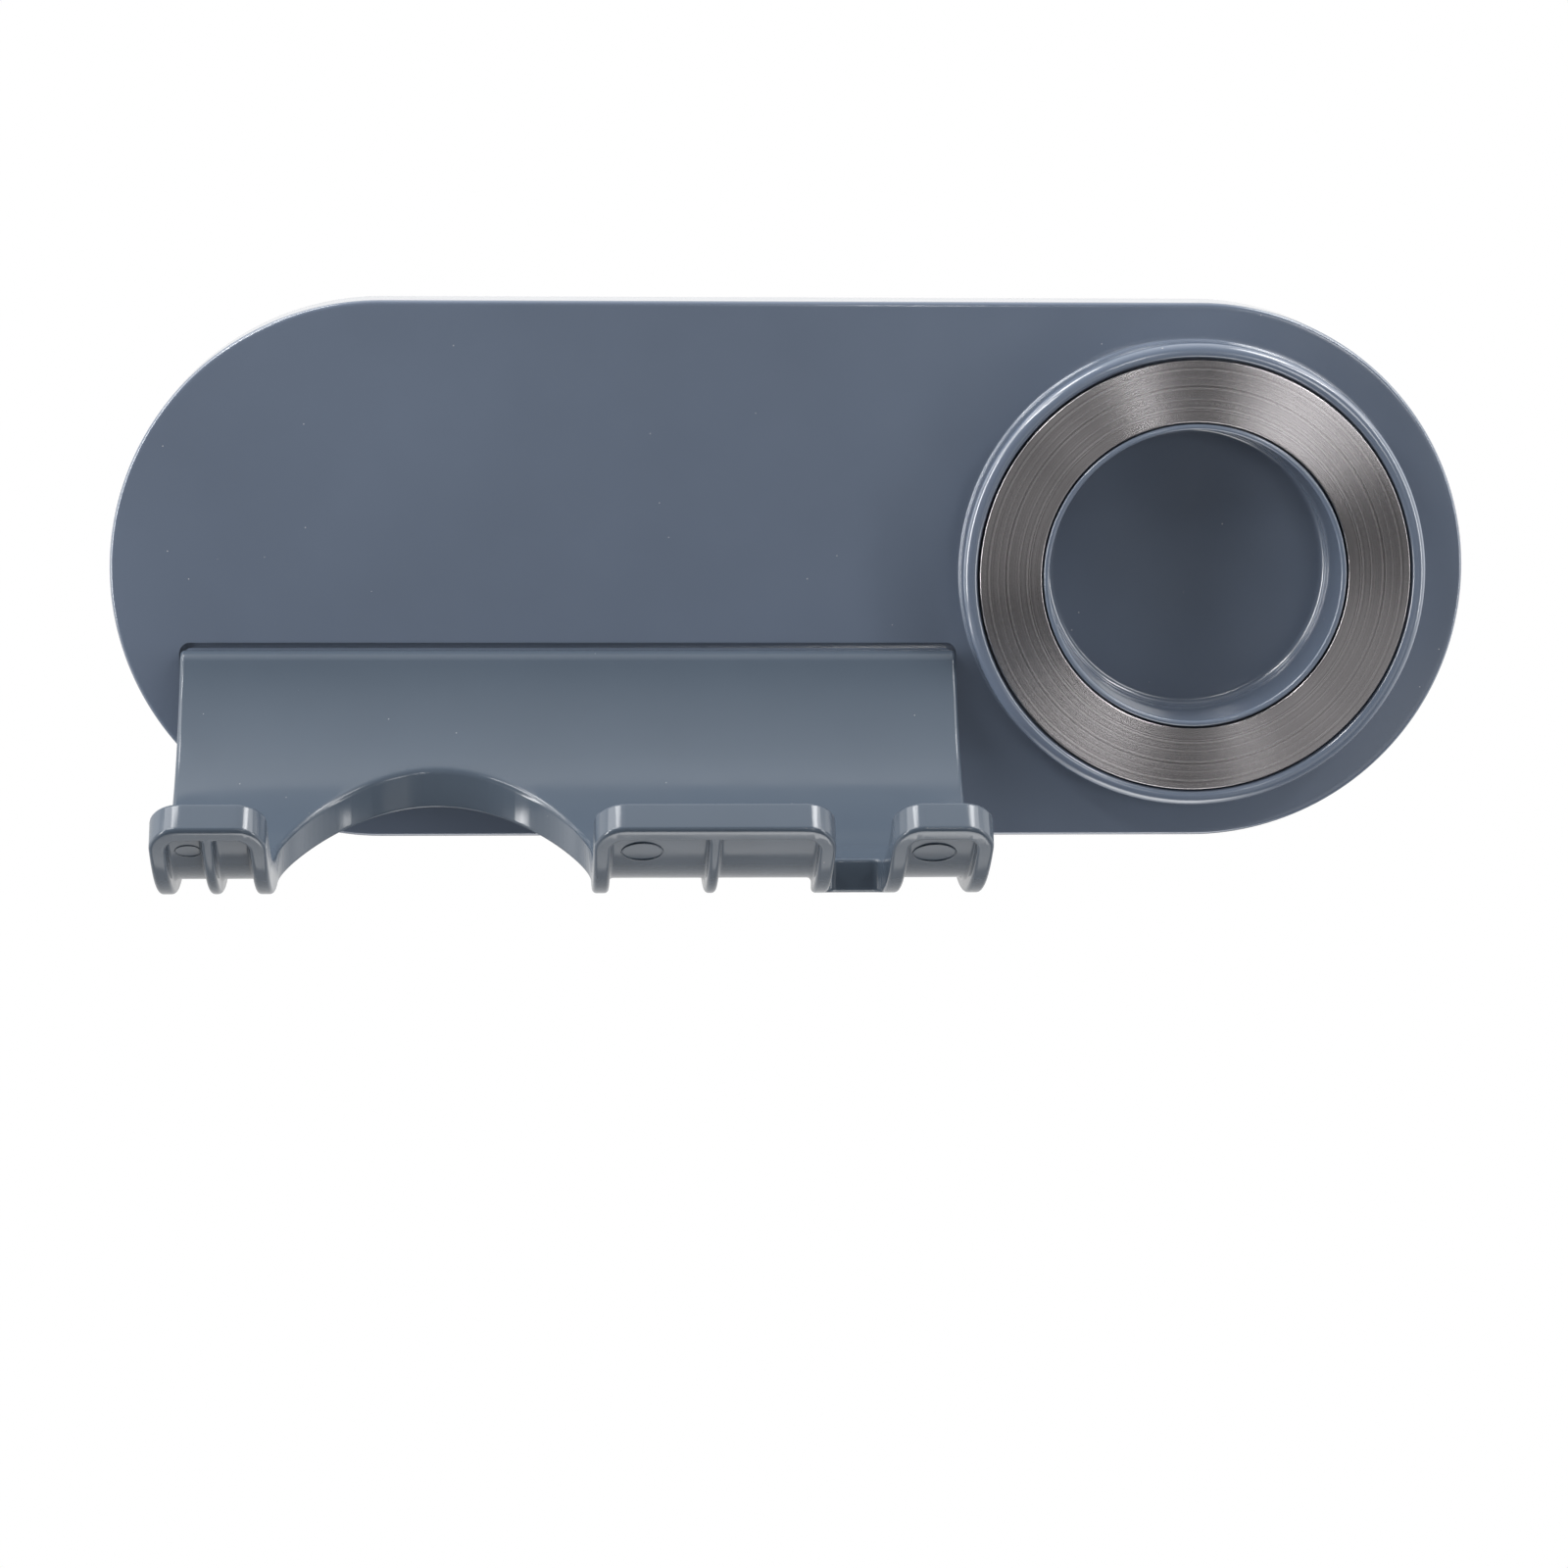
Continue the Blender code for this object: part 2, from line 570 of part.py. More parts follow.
def rear_cover():
    margin = 2 * (SHELL_WALL + COVER_CLEARANCE)
    outline = oblong(PLATE_LENGTH - margin, PLATE_HEIGHT - margin)
    cover = slab("rear_cover", outline, SHELL_BACK, COVER_FRONT)
    hole = COVER_SCREW_RADIUS + SCREW_CLEARANCE
    mouth = COVER_SCREW_HEAD_RADIUS + SCREW_CLEARANCE
    sink = SHELL_BACK + COVER_SCREW_HEAD_HEIGHT
    profile = (
        (0.0, COVER_FRONT + EMBED),
        (hole, COVER_FRONT + EMBED),
        (hole, sink),
        (mouth, SHELL_BACK),
        (mouth, SHELL_BACK - EMBED),
        (0.0, SHELL_BACK - EMBED),
    )
    holes = []
    for number, (centre, _) in enumerate(cover_boss_places(), 1):
        holes.append(turned(f"cover_hole_{number}", profile, centre, SCREW_STEPS))
    combine_all(cover, holes, "DIFFERENCE", "cover_holes")
    make_piece(cover, (0.045, 0.055, 0.070), 0.5, 0.0)


def cover_screws():
    sink = SHELL_BACK + COVER_SCREW_HEAD_HEIGHT
    tip = SHELL_BACK + COVER_SCREW_LENGTH
    profile = (
        (0.0, tip),
        (COVER_SCREW_RADIUS / 2, tip),
        (COVER_SCREW_RADIUS, tip - COVER_SCREW_RADIUS),
        (COVER_SCREW_RADIUS, sink),
        (COVER_SCREW_HEAD_RADIUS, SHELL_BACK),
        (0.0, SHELL_BACK),
    )
    for number, (centre, _) in enumerate(cover_boss_places(), 1):
        screw = turned(f"cover_screw_{number}", profile, centre, SCREW_STEPS)
        make_piece(screw, (0.45, 0.46, 0.47), 0.35, 1.0)


def cradle_screws():
    seat = PLATE_INSIDE - SEAT_GAP
    tip = PLATE_FRONT + CRADLE_SCREW_REACH
    crown = CRADLE_SCREW_HEAD_HEIGHT / 3
    back = seat - CRADLE_SCREW_HEAD_HEIGHT
    profile = (
        (0.0, tip),
        (CRADLE_SCREW_RADIUS / 2, tip),
        (CRADLE_SCREW_RADIUS, tip - CRADLE_SCREW_RADIUS),
        (CRADLE_SCREW_RADIUS, seat),
        (CRADLE_SCREW_HEAD_RADIUS, seat),
        (CRADLE_SCREW_HEAD_RADIUS, back + crown),
        (CRADLE_SCREW_HEAD_RADIUS - crown, back),
        (0.0, back),
    )
    for number, centre in enumerate(cradle_screw_places(), 1):
        screw = turned(f"cradle_screw_{number}", profile, centre, SCREW_STEPS)
        make_piece(screw, (0.45, 0.46, 0.47), 0.35, 1.0)


def adhesive_pads():
    outline = round_rectangle(PAD_LENGTH, PAD_HEIGHT, PAD_CORNER_RADIUS)
    for side, x in (("left", -PAD_SPACING), ("middle", 0.0), ("right", PAD_SPACING)):
        pad = slab(f"adhesive_pad_{side}", outline, 0.0, PAD_THICKNESS, (x, 0.0))
        make_piece(pad, (0.75, 0.75, 0.73), 0.7, 0.0)


front_shell()
steel_ring()
ring_tape()
cradle()
rear_cover()
cover_screws()
cradle_screws()
adhesive_pads()
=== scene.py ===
import bmesh
import bpy
import json
import math
from mathutils import Matrix, Vector

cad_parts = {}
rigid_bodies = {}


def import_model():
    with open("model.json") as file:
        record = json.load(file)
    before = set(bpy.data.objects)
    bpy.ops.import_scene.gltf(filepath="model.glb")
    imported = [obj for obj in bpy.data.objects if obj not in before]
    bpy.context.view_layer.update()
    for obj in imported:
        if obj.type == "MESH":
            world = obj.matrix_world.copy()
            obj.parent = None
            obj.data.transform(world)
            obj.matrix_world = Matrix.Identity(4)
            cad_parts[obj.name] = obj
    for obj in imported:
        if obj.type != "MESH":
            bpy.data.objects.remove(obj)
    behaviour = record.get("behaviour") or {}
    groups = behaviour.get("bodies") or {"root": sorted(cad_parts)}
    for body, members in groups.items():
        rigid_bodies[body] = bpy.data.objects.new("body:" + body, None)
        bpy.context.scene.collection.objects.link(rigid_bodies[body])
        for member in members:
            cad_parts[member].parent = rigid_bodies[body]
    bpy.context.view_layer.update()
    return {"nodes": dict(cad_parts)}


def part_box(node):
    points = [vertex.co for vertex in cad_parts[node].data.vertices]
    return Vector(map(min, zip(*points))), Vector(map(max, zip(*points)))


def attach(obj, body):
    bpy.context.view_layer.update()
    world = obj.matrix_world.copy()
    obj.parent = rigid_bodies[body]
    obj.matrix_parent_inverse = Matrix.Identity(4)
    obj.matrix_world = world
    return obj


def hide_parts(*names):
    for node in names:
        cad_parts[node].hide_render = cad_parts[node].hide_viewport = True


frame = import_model()
scene = bpy.context.scene
MM = 0.001

# Camera: a long lens a little above the plate and to the left of its middle.
# The lens is shifted so that the plate sits above the middle of the picture.
CAMERA_PLACE = Vector((-43.9, -842.5, 106.5)) * MM
CAMERA_PAN = math.radians(2.95)
CAMERA_TILT = math.radians(-7.24)
CAMERA_ROLL = math.radians(0.41)
LENS_LENGTH = 115.3
LENS_SHIFT = -0.139
SENSOR_WIDTH = 36.0

camera_data = bpy.data.cameras.new("camera")
camera_data.lens = LENS_LENGTH
camera_data.sensor_width = SENSOR_WIDTH
camera_data.shift_y = LENS_SHIFT
camera = bpy.data.objects.new("camera", camera_data)
scene.collection.objects.link(camera)
ahead_x = math.sin(CAMERA_PAN) * math.cos(CAMERA_TILT)
ahead_y = math.cos(CAMERA_PAN) * math.cos(CAMERA_TILT)
ahead = Vector((ahead_x, ahead_y, math.sin(CAMERA_TILT)))
level = Vector((math.cos(CAMERA_PAN), -math.sin(CAMERA_PAN), 0.0))
above = level.cross(ahead)
right = level * math.cos(CAMERA_ROLL) + above * math.sin(CAMERA_ROLL)
upward = above * math.cos(CAMERA_ROLL) - level * math.sin(CAMERA_ROLL)
camera_turn = Matrix((right, upward, -ahead)).transposed().to_4x4()
camera.matrix_world = Matrix.Translation(CAMERA_PLACE) @ camera_turn
scene.camera = camera
scene.view_settings.view_transform = "Standard"

# Adhesive pads: three nearly square pads of white closed-cell foam with glue on both sides.
# They are cut with rounded corners and hold the rear cover to the wall.
PAD_CORNER = 4.0 * MM
PAD_EDGE_ROUND = 0.25 * MM
PAD_EDGE_STEPS = 4
PAD_FACE_INSET = 3 * PAD_EDGE_ROUND
CORNER_STEPS = 12
SHARP_ANGLE = 35.0
FOAM_CELL_SCALE = 2600.0
FOAM_CELL_RANGE = (0.0, 0.8)
FOAM_COLOURS = ((0.66, 0.66, 0.64), (0.80, 0.80, 0.78))
FOAM_ROUGHNESS = (0.85, 0.7)


def link(nodes_tree, source, output, target, socket):
    """Join an output of one node to an input of another."""
    nodes_tree.links.new(source.outputs[output], target.inputs[socket])


def cell_node(nodes_tree, scale):
    """A pattern of cells in object coordinates."""
    coordinates = nodes_tree.nodes.new("ShaderNodeTexCoord")
    cells = nodes_tree.nodes.new("ShaderNodeTexVoronoi")
    cells.inputs["Scale"].default_value = scale
    link(nodes_tree, coordinates, "Object", cells, "Vector")
    return cells


def map_node(nodes_tree, source, output, ends, results, smooth=False):
    """Carry a value from between two ends to between two results, held beyond the ends."""
    ranged = nodes_tree.nodes.new("ShaderNodeMapRange")
    for socket, value in zip(("From Min", "From Max", "To Min", "To Max"), (*ends, *results)):
        ranged.inputs[socket].default_value = value
    if smooth:
        ranged.interpolation_type = "SMOOTHSTEP"
    link(nodes_tree, source, output, ranged, "Value")
    return ranged


def new_material(name):
    """A material with its node tree and its Principled shader."""
    material = bpy.data.materials.new(name)
    material.use_nodes = True
    return material, material.node_tree, material.node_tree.nodes["Principled BSDF"]


def vary_colour(nodes_tree, shader, source, output, ends, colours):
    """Let a pattern move a material's colour between two colours."""
    tone = map_node(nodes_tree, source, output, ends, (0.0, 1.0))
    mixed = nodes_tree.nodes.new("ShaderNodeMix")
    mixed.data_type = "RGBA"
    mixed.inputs["A"].default_value = (*colours[0], 1.0)
    mixed.inputs["B"].default_value = (*colours[1], 1.0)
    link(nodes_tree, tone, "Result", mixed, "Factor")
    link(nodes_tree, mixed, "Result", shader, "Base Color")


def vary_roughness(nodes_tree, shader, source, output, ends, roughness):
    """Let a pattern move a material's roughness between two values."""
    rough = map_node(nodes_tree, source, output, ends, roughness)
    link(nodes_tree, rough, "Result", shader, "Roughness")


def add_bump(nodes_tree, shader, source, output, strength, distance):
    """Let a pattern raise and lower the surface a little."""
    bump = nodes_tree.nodes.new("ShaderNodeBump")
    bump.inputs["Strength"].default_value = strength
    bump.inputs["Distance"].default_value = distance
    link(nodes_tree, source, output, bump, "Height")
    link(nodes_tree, bump, "Normal", shader, "Normal")


def box_corners(node):
    """The low and the high corner of a CAD node's box."""
    low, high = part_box(node)
    return Vector(low), Vector(high)


def edge_levels(radius, steps):
    """Pairs of inset and depth down a rounded edge, from the flat face to the side."""
    levels = []
    for step in range(steps + 1):
        angle = math.pi / 2 * step / steps
        levels.append((radius * (1 - math.sin(angle)), radius * (1 - math.cos(angle))))
    return levels


def rounded_box_loop(low, high, corner, inset, y):
    """Points round a rounded rectangle in the wall's plane, anticlockwise from the front."""
    points = []
    radius = corner - inset
    middle_x = (low.x + high.x) / 2
    middle_z = (low.z + high.z) / 2
    half_x = (high.x - low.x) / 2 - corner
    half_z = (high.z - low.z) / 2 - corner
    for quarter, (side_x, side_z) in enumerate(((1, 1), (-1, 1), (-1, -1), (1, -1))):
        for step in range(CORNER_STEPS + 1):
            angle = math.pi / 2 * (quarter + step / CORNER_STEPS)
            x = middle_x + side_x * half_x + radius * math.cos(angle)
            z = middle_z + side_z * half_z + radius * math.sin(angle)
            points.append(Vector((x, y, z)))
    return points


def add_loops(shape, loops):
    """Skin a row of loops that have the same number of points; gives back the rings of vertices."""
    rings = []
    for points in loops:
        rings.append([shape.verts.new(point) for point in points])
    for ring, following in zip(rings, rings[1:]):
        count = len(ring)
        for index in range(count):
            after = (index + 1) % count
            shape.faces.new((ring[index], ring[after], following[after], following[index]))
    return rings


def fill_between(shape, rings):
    """Close a flat face that is bounded by these rings, outline and holes alike."""
    edges = []
    for ring in rings:
        for index, vertex in enumerate(ring):
            edges.append(shape.edges.get((vertex, ring[index - 1])))
    bmesh.ops.triangle_fill(shape, use_beauty=True, use_dissolve=False, edges=edges)


def finish_mesh(shape, name, material, sharp_degrees=SHARP_ANGLE):
    """Turn a closed bmesh into an object of the scene with smooth faces."""
    bmesh.ops.recalc_face_normals(shape, faces=shape.faces)
    mesh = bpy.data.meshes.new(name)
    shape.to_mesh(mesh)
    shape.free()
    mesh.shade_smooth()
    mesh.set_sharp_from_angle(angle=math.radians(sharp_degrees))
    mesh.materials.append(material)
    piece = bpy.data.objects.new(name, mesh)
    scene.collection.objects.link(piece)
    return piece


foam, foam_tree, foam_shader = new_material("pad_foam")
foam_cells = cell_node(foam_tree, FOAM_CELL_SCALE)
vary_colour(foam_tree, foam_shader, foam_cells, "Distance", FOAM_CELL_RANGE, FOAM_COLOURS)
vary_roughness(foam_tree, foam_shader, foam_cells, "Distance", FOAM_CELL_RANGE, FOAM_ROUGHNESS)
add_bump(foam_tree, foam_shader, foam_cells, "Distance", strength=0.35, distance=0.1 * MM)

for side in ("left", "middle", "right"):
    node = "adhesive_pad_" + side
    low, high = box_corners(node)
    levels = edge_levels(PAD_EDGE_ROUND, PAD_EDGE_STEPS)
    # From the wall side to the cover side: the cut edge is rounded a little at both faces.
    profile = [(PAD_FACE_INSET, high.y)]
    profile += [(inset, high.y - depth) for inset, depth in levels]
    profile += [(inset, low.y + depth) for inset, depth in reversed(levels)]
    profile.append((PAD_FACE_INSET, low.y))
    shape = bmesh.new()
    rings = add_loops(shape, [rounded_box_loop(low, high, PAD_CORNER, inset, y) for inset, y in profile])
    fill_between(shape, [rings[0]])
    fill_between(shape, [rings[-1]])
    pad = finish_mesh(shape, "foam_pad_" + side, foam)
    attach(pad, "root")
    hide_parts(node)

# Rear cover: a flat moulded panel with a fine matt texture that closes the back of the shell.
# Its six screw holes are countersunk so that the heads stay below the pads.
COVER_EDGE_ROUND = 0.4 * MM
COVER_EDGE_STEPS = 6
COVER_FACE_INSET = 2 * COVER_EDGE_ROUND
COVER_HOLE_RADIUS = 1.5 * MM
COVER_SINK_RADIUS = 2.8 * MM
COVER_SINK_DEPTH = 1.3 * MM
END_STEPS = 96
HOLE_STEPS = 32
SEED_STEP = (0.37, 0.61, 0.83)
NOISE_RANGE = (0.3, 0.7)
MOTTLE_SCALE = 45.0
MOTTLE_TONES = (0.97, 1.03)
SPECK_SCALE = 210.0
SPECK_EDGE = (0.016, 0.024)
SPECK_COLOUR = (0.5, 0.5, 0.5, 1.0)
PATCH_SCALE = 90.0
PATCH_ROUGHNESS = (-0.03, 0.05)
PEEL_SCALE = 900.0
PEEL_DEPTH = 0.05 * MM


def oblong_loop(low, high, inset, y):
    """Points round a shape with two straight sides and two half-round ends."""
    radius = (high.z - low.z) / 2
    middle_z = (high.z + low.z) / 2
    points = []
    for centre_x, start in ((high.x - radius, -math.pi / 2), (low.x + radius, math.pi / 2)):
        for step in range(END_STEPS + 1):
            angle = start + math.pi * step / END_STEPS
            x = centre_x + (radius - inset) * math.cos(angle)
            z = middle_z + (radius - inset) * math.sin(angle)
            points.append(Vector((x, y, z)))
    return points


def round_loop(centre_x, centre_z, radius, y, steps):
    """Points round a circle in the wall's plane."""
    points = []
    for step in range(steps):
        angle = 2 * math.pi * step / steps
        x = centre_x + radius * math.cos(angle)
        z = centre_z + radius * math.sin(angle)
        points.append(Vector((x, y, z)))
    return points


def noise_node(nodes_tree, scale, detail, seed):
    """A noise in object coordinates, moved by a seed so that no two are alike."""
    coordinates = nodes_tree.nodes.new("ShaderNodeTexCoord")
    moved = nodes_tree.nodes.new("ShaderNodeMapping")
    moved.inputs["Location"].default_value = [step * seed for step in SEED_STEP]
    noise = nodes_tree.nodes.new("ShaderNodeTexNoise")
    noise.inputs["Scale"].default_value = scale
    noise.inputs["Detail"].default_value = detail
    link(nodes_tree, coordinates, "Object", moved, "Vector")
    link(nodes_tree, moved, "Vector", noise, "Vector")
    return noise


def math_node(nodes_tree, operation, *sources):
    """Combine values, each given as a node and the name of its output."""
    made = nodes_tree.nodes.new("ShaderNodeMath")
    made.operation = operation
    for index, (source, output) in enumerate(sources):
        link(nodes_tree, source, output, made, index)
    return made


def plastic_group():
    """Moulded plastic: a slight mottle, uneven gloss, fine orange peel and a few specks of dust."""
    group = bpy.data.node_groups.new("moulded_plastic", "ShaderNodeTree")
    for name, side, kind in (
        ("Colour", "INPUT", "NodeSocketColor"),
        ("Gloss", "INPUT", "NodeSocketFloat"),
        ("Dust", "INPUT", "NodeSocketFloat"),
        ("Colour", "OUTPUT", "NodeSocketColor"),
        ("Roughness", "OUTPUT", "NodeSocketFloat"),
        ("Height", "OUTPUT", "NodeSocketFloat"),
    ):
        group.interface.new_socket(name, in_out=side, socket_type=kind)
    entry = group.nodes.new("NodeGroupInput")
    leave = group.nodes.new("NodeGroupOutput")
    mottle = noise_node(group, MOTTLE_SCALE, detail=3.0, seed=1.0)
    tone = map_node(group, mottle, "Fac", NOISE_RANGE, MOTTLE_TONES)
    toned = group.nodes.new("ShaderNodeVectorMath")
    toned.operation = "SCALE"
    link(group, entry, "Colour", toned, 0)
    link(group, tone, "Result", toned, "Scale")
    specks = cell_node(group, SPECK_SCALE)
    speck = map_node(group, specks, "Distance", SPECK_EDGE, (1.0, 0.0))
    dusted = math_node(group, "MULTIPLY", (speck, "Result"), (entry, "Dust"))
    with_dust = group.nodes.new("ShaderNodeMix")
    with_dust.data_type = "RGBA"
    with_dust.inputs["B"].default_value = SPECK_COLOUR
    link(group, dusted, "Value", with_dust, "Factor")
    link(group, toned, "Vector", with_dust, "A")
    link(group, with_dust, "Result", leave, "Colour")
    patches = noise_node(group, PATCH_SCALE, detail=4.0, seed=2.0)
    unevenness = map_node(group, patches, "Fac", NOISE_RANGE, PATCH_ROUGHNESS)
    gloss = math_node(group, "ADD", (entry, "Gloss"), (unevenness, "Result"))
    link(group, gloss, "Value", leave, "Roughness")
    peel = noise_node(group, PEEL_SCALE, detail=2.0, seed=3.0)
    link(group, peel, "Fac", leave, "Height")
    return group


moulded = plastic_group()


def plastic(name, colour, gloss, dust, peel):
    """A moulded plastic of one colour; gloss is its mean roughness, peel the strength of its texture."""
    material, tree, shader = new_material(name)
    group = tree.nodes.new("ShaderNodeGroup")
    group.node_tree = moulded
    group.inputs["Colour"].default_value = (*colour, 1.0)
    group.inputs["Gloss"].default_value = gloss
    group.inputs["Dust"].default_value = dust
    link(tree, group, "Colour", shader, "Base Color")
    link(tree, group, "Roughness", shader, "Roughness")
    add_bump(tree, shader, group, "Height", peel, PEEL_DEPTH)
    return material


cover_plastic = plastic("cover_plastic", (0.045, 0.055, 0.07), gloss=0.5, dust=0.3, peel=0.5)
cover_low, cover_high = box_corners("rear_cover")
screw_heads = []
for number in range(1, 7):
    low, high = box_corners(f"cover_screw_{number}")
    screw_heads.append(Vector(((low.x + high.x) / 2, high.y, (low.z + high.z) / 2)))

profile = [(COVER_FACE_INSET, cover_high.y)]
for inset, depth in edge_levels(COVER_EDGE_ROUND, COVER_EDGE_STEPS):
    profile.append((inset, cover_high.y - depth))
profile.append((0.0, cover_low.y))
shape = bmesh.new()
outer = add_loops(shape, [oblong_loop(cover_low, cover_high, inset, y) for inset, y in profile])
back_rings = [outer[0]]
front_rings = [outer[-1]]
hole_profile = (
    (COVER_SINK_RADIUS, cover_high.y),
    (COVER_HOLE_RADIUS, cover_high.y - COVER_SINK_DEPTH),
    (COVER_HOLE_RADIUS, cover_low.y),
)
for place in screw_heads:
    hole = [round_loop(place.x, place.z, radius, y, HOLE_STEPS) for radius, y in hole_profile]
    rings = add_loops(shape, hole)
    back_rings.append(rings[0])
    front_rings.append(rings[-1])
fill_between(shape, back_rings)
fill_between(shape, front_rings)
cover = finish_mesh(shape, "cover_panel", cover_plastic)
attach(cover, "root")
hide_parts("rear_cover")

# Cover screws: six zinc-plated countersunk screws with a cross recess.
# They go through the rear cover into bosses inside the shell.
SCREW_HEAD_RADIUS = 2.6 * MM
SCREW_HEAD_DEPTH = 1.2 * MM
SCREW_SHANK_RADIUS = 1.2 * MM
SCREW_LENGTH = 6.2 * MM
SCREW_STEPS = 48
SCREW_SHARP_ANGLE = 30.0
RECESS_LENGTH = 2.8 * MM
RECESS_WIDTH = 0.6 * MM
RECESS_DEPTH = 0.8 * MM
ZINC_GRAIN_SCALE = 1200.0
ZINC_COLOURS = ((0.40, 0.41, 0.42), (0.50, 0.51, 0.52))
ZINC_ROUGHNESS = (0.28, 0.42)

zinc, zinc_tree, zinc_shader = new_material("screw_steel")
zinc_shader.inputs["Metallic"].default_value = 1.0
zinc_grain = noise_node(zinc_tree, ZINC_GRAIN_SCALE, detail=3.0, seed=4.0)
vary_colour(zinc_tree, zinc_shader, zinc_grain, "Fac", NOISE_RANGE, ZINC_COLOURS)
vary_roughness(zinc_tree, zinc_shader, zinc_grain, "Fac", NOISE_RANGE, ZINC_ROUGHNESS)
add_bump(zinc_tree, zinc_shader, zinc_grain, "Fac", strength=0.2, distance=0.02 * MM)


def points_object(name, points):
    """An object of loose points, which a node tree turns into repeated pieces."""
    mesh = bpy.data.meshes.new(name)
    mesh.from_pydata(points, [], [])
    piece = bpy.data.objects.new(name, mesh)
    scene.collection.objects.link(piece)
    return piece


def apply_modifiers(piece):
    """Turn what a piece's modifiers give into its plain mesh and remove them."""
    evaluated = piece.evaluated_get(bpy.context.evaluated_depsgraph_get())
    mesh = bpy.data.meshes.new_from_object(evaluated)
    piece.modifiers.clear()
    piece.data = mesh
    return mesh


def evaluate_nodes(piece, tree, values):
    """Run a node tree on a piece with these named inputs and keep the result as a plain mesh."""
    modifier = piece.modifiers.new(tree.name, "NODES")
    modifier.node_group = tree
    for item in tree.interface.items_tree:
        if item.in_out == "INPUT" and item.name in values:
            modifier[item.identifier] = values[item.name]
    return apply_modifiers(piece)


def node_tree(name, inputs):
    """A geometry node tree with these named number inputs, and its group input and output."""
    tree = bpy.data.node_groups.new(name, "GeometryNodeTree")
    tree.interface.new_socket("Geometry", in_out="INPUT", socket_type="NodeSocketGeometry")
    for label in inputs:
        tree.interface.new_socket(label, in_out="INPUT", socket_type="NodeSocketFloat")
    tree.interface.new_socket("Geometry", in_out="OUTPUT", socket_type="NodeSocketGeometry")
    return tree, tree.nodes.new("NodeGroupInput"), tree.nodes.new("NodeGroupOutput")


def add_node(tree, kind, values):
    """A geometry node with these inputs set."""
    made = tree.nodes.new(kind)
    for label, value in values.items():
        made.inputs[label].default_value = value
    return made


def cone_node(tree, entry, bottom, top, depth):
    """A round length of a screw, sized by three of its tree's inputs."""
    cone = add_node(tree, "GeometryNodeMeshCone", {"Vertices": SCREW_STEPS})
    link(tree, entry, bottom, cone, "Radius Bottom")
    link(tree, entry, top, cone, "Radius Top")
    link(tree, entry, depth, cone, "Depth")
    return cone


def boolean_node(tree, operation):
    """A node that joins meshes or cuts some out of another."""
    made = tree.nodes.new("GeometryNodeMeshBoolean")
    made.operation = operation
    made.solver = "EXACT"
    return made


def realize(tree, source, material, leave):
    """Close a tree: make its instances real, give them their material and hand them on."""
    real = tree.nodes.new("GeometryNodeRealizeInstances")
    painted = tree.nodes.new("GeometryNodeSetMaterial")
    painted.inputs["Material"].default_value = material
    link(tree, source, "Instances", real, "Geometry")
    link(tree, real, "Geometry", painted, "Geometry")
    link(tree, painted, "Geometry", leave, "Geometry")


screw_sizes = {
    "Head radius": SCREW_HEAD_RADIUS,
    "Head depth": SCREW_HEAD_DEPTH,
    "Shank radius": SCREW_SHANK_RADIUS,
    "Shank length": SCREW_LENGTH - SCREW_HEAD_DEPTH / 2,
}
screw_tree, entry, leave = node_tree("countersunk_screw", screw_sizes)
head = cone_node(screw_tree, entry, "Head radius", "Shank radius", "Head depth")
shank = cone_node(screw_tree, entry, "Shank radius", "Shank radius", "Shank length")
shank_move = {"Translation": (0.0, 0.0, SCREW_HEAD_DEPTH / 2)}
shank_place = add_node(screw_tree, "GeometryNodeTransform", shank_move)
link(screw_tree, shank, "Mesh", shank_place, "Geometry")
body = boolean_node(screw_tree, "UNION")
link(screw_tree, head, "Mesh", body, "Mesh 2")
link(screw_tree, shank_place, "Geometry", body, "Mesh 2")
recess = boolean_node(screw_tree, "DIFFERENCE")
link(screw_tree, body, "Mesh", recess, "Mesh 1")
for size_x, size_y in ((RECESS_LENGTH, RECESS_WIDTH), (RECESS_WIDTH, RECESS_LENGTH)):
    bar = add_node(screw_tree, "GeometryNodeMeshCube", {"Size": (size_x, size_y, 2 * RECESS_DEPTH)})
    link(screw_tree, bar, "Mesh", recess, "Mesh 2")
facing = add_node(screw_tree, "GeometryNodeTransform", {"Rotation": (math.pi / 2, 0.0, 0.0)})
link(screw_tree, recess, "Mesh", facing, "Geometry")
spread = screw_tree.nodes.new("GeometryNodeInstanceOnPoints")
link(screw_tree, entry, "Geometry", spread, "Points")
link(screw_tree, facing, "Geometry", spread, "Instance")
realize(screw_tree, spread, zinc, leave)

cover_screws = points_object("cover_screws", screw_heads)
screw_mesh = evaluate_nodes(cover_screws, screw_tree, screw_sizes)
screw_mesh.shade_smooth()
screw_mesh.set_sharp_from_angle(angle=math.radians(SCREW_SHARP_ANGLE))
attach(cover_screws, "root")
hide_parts(*[f"cover_screw_{number}" for number in range(1, 7)])

# Front shell: one blue-grey moulding with a clear gloss, a plate with a raised collar at its right end.
# The collar carries a groove for the steel ring and, inside it, a round cup.
# A shallow groove in the plate's face runs round the cradle's seat as a shut line.
PLATE_FRONT = 11.1 * MM
PLATE_INSIDE = 8.6 * MM
SHELL_WALL = 2.5 * MM
PLATE_EDGE_ROUND = 0.7 * MM
BACK_EDGE_ROUND = 0.4 * MM
FLAT_MARGIN = 0.4 * MM
COLLAR_X = 67.2 * MM
COLLAR_RADIUS = 38.8 * MM
COLLAR_EDGE_ROUND = 1.5 * MM
COLLAR_FOOT_ROUND = 0.4 * MM
COLLAR_WALL = 2.0 * MM
COLLAR_INSIDE = 14.0 * MM
GROOVE_OUTER = 36.3 * MM
GROOVE_INNER = 25.4 * MM
GROOVE_BACK = 15.8 * MM
RIM_EDGE_ROUND = 0.9 * MM
LIP_EDGE_ROUND = 0.45 * MM
CUP_MOUTH = 24.4 * MM
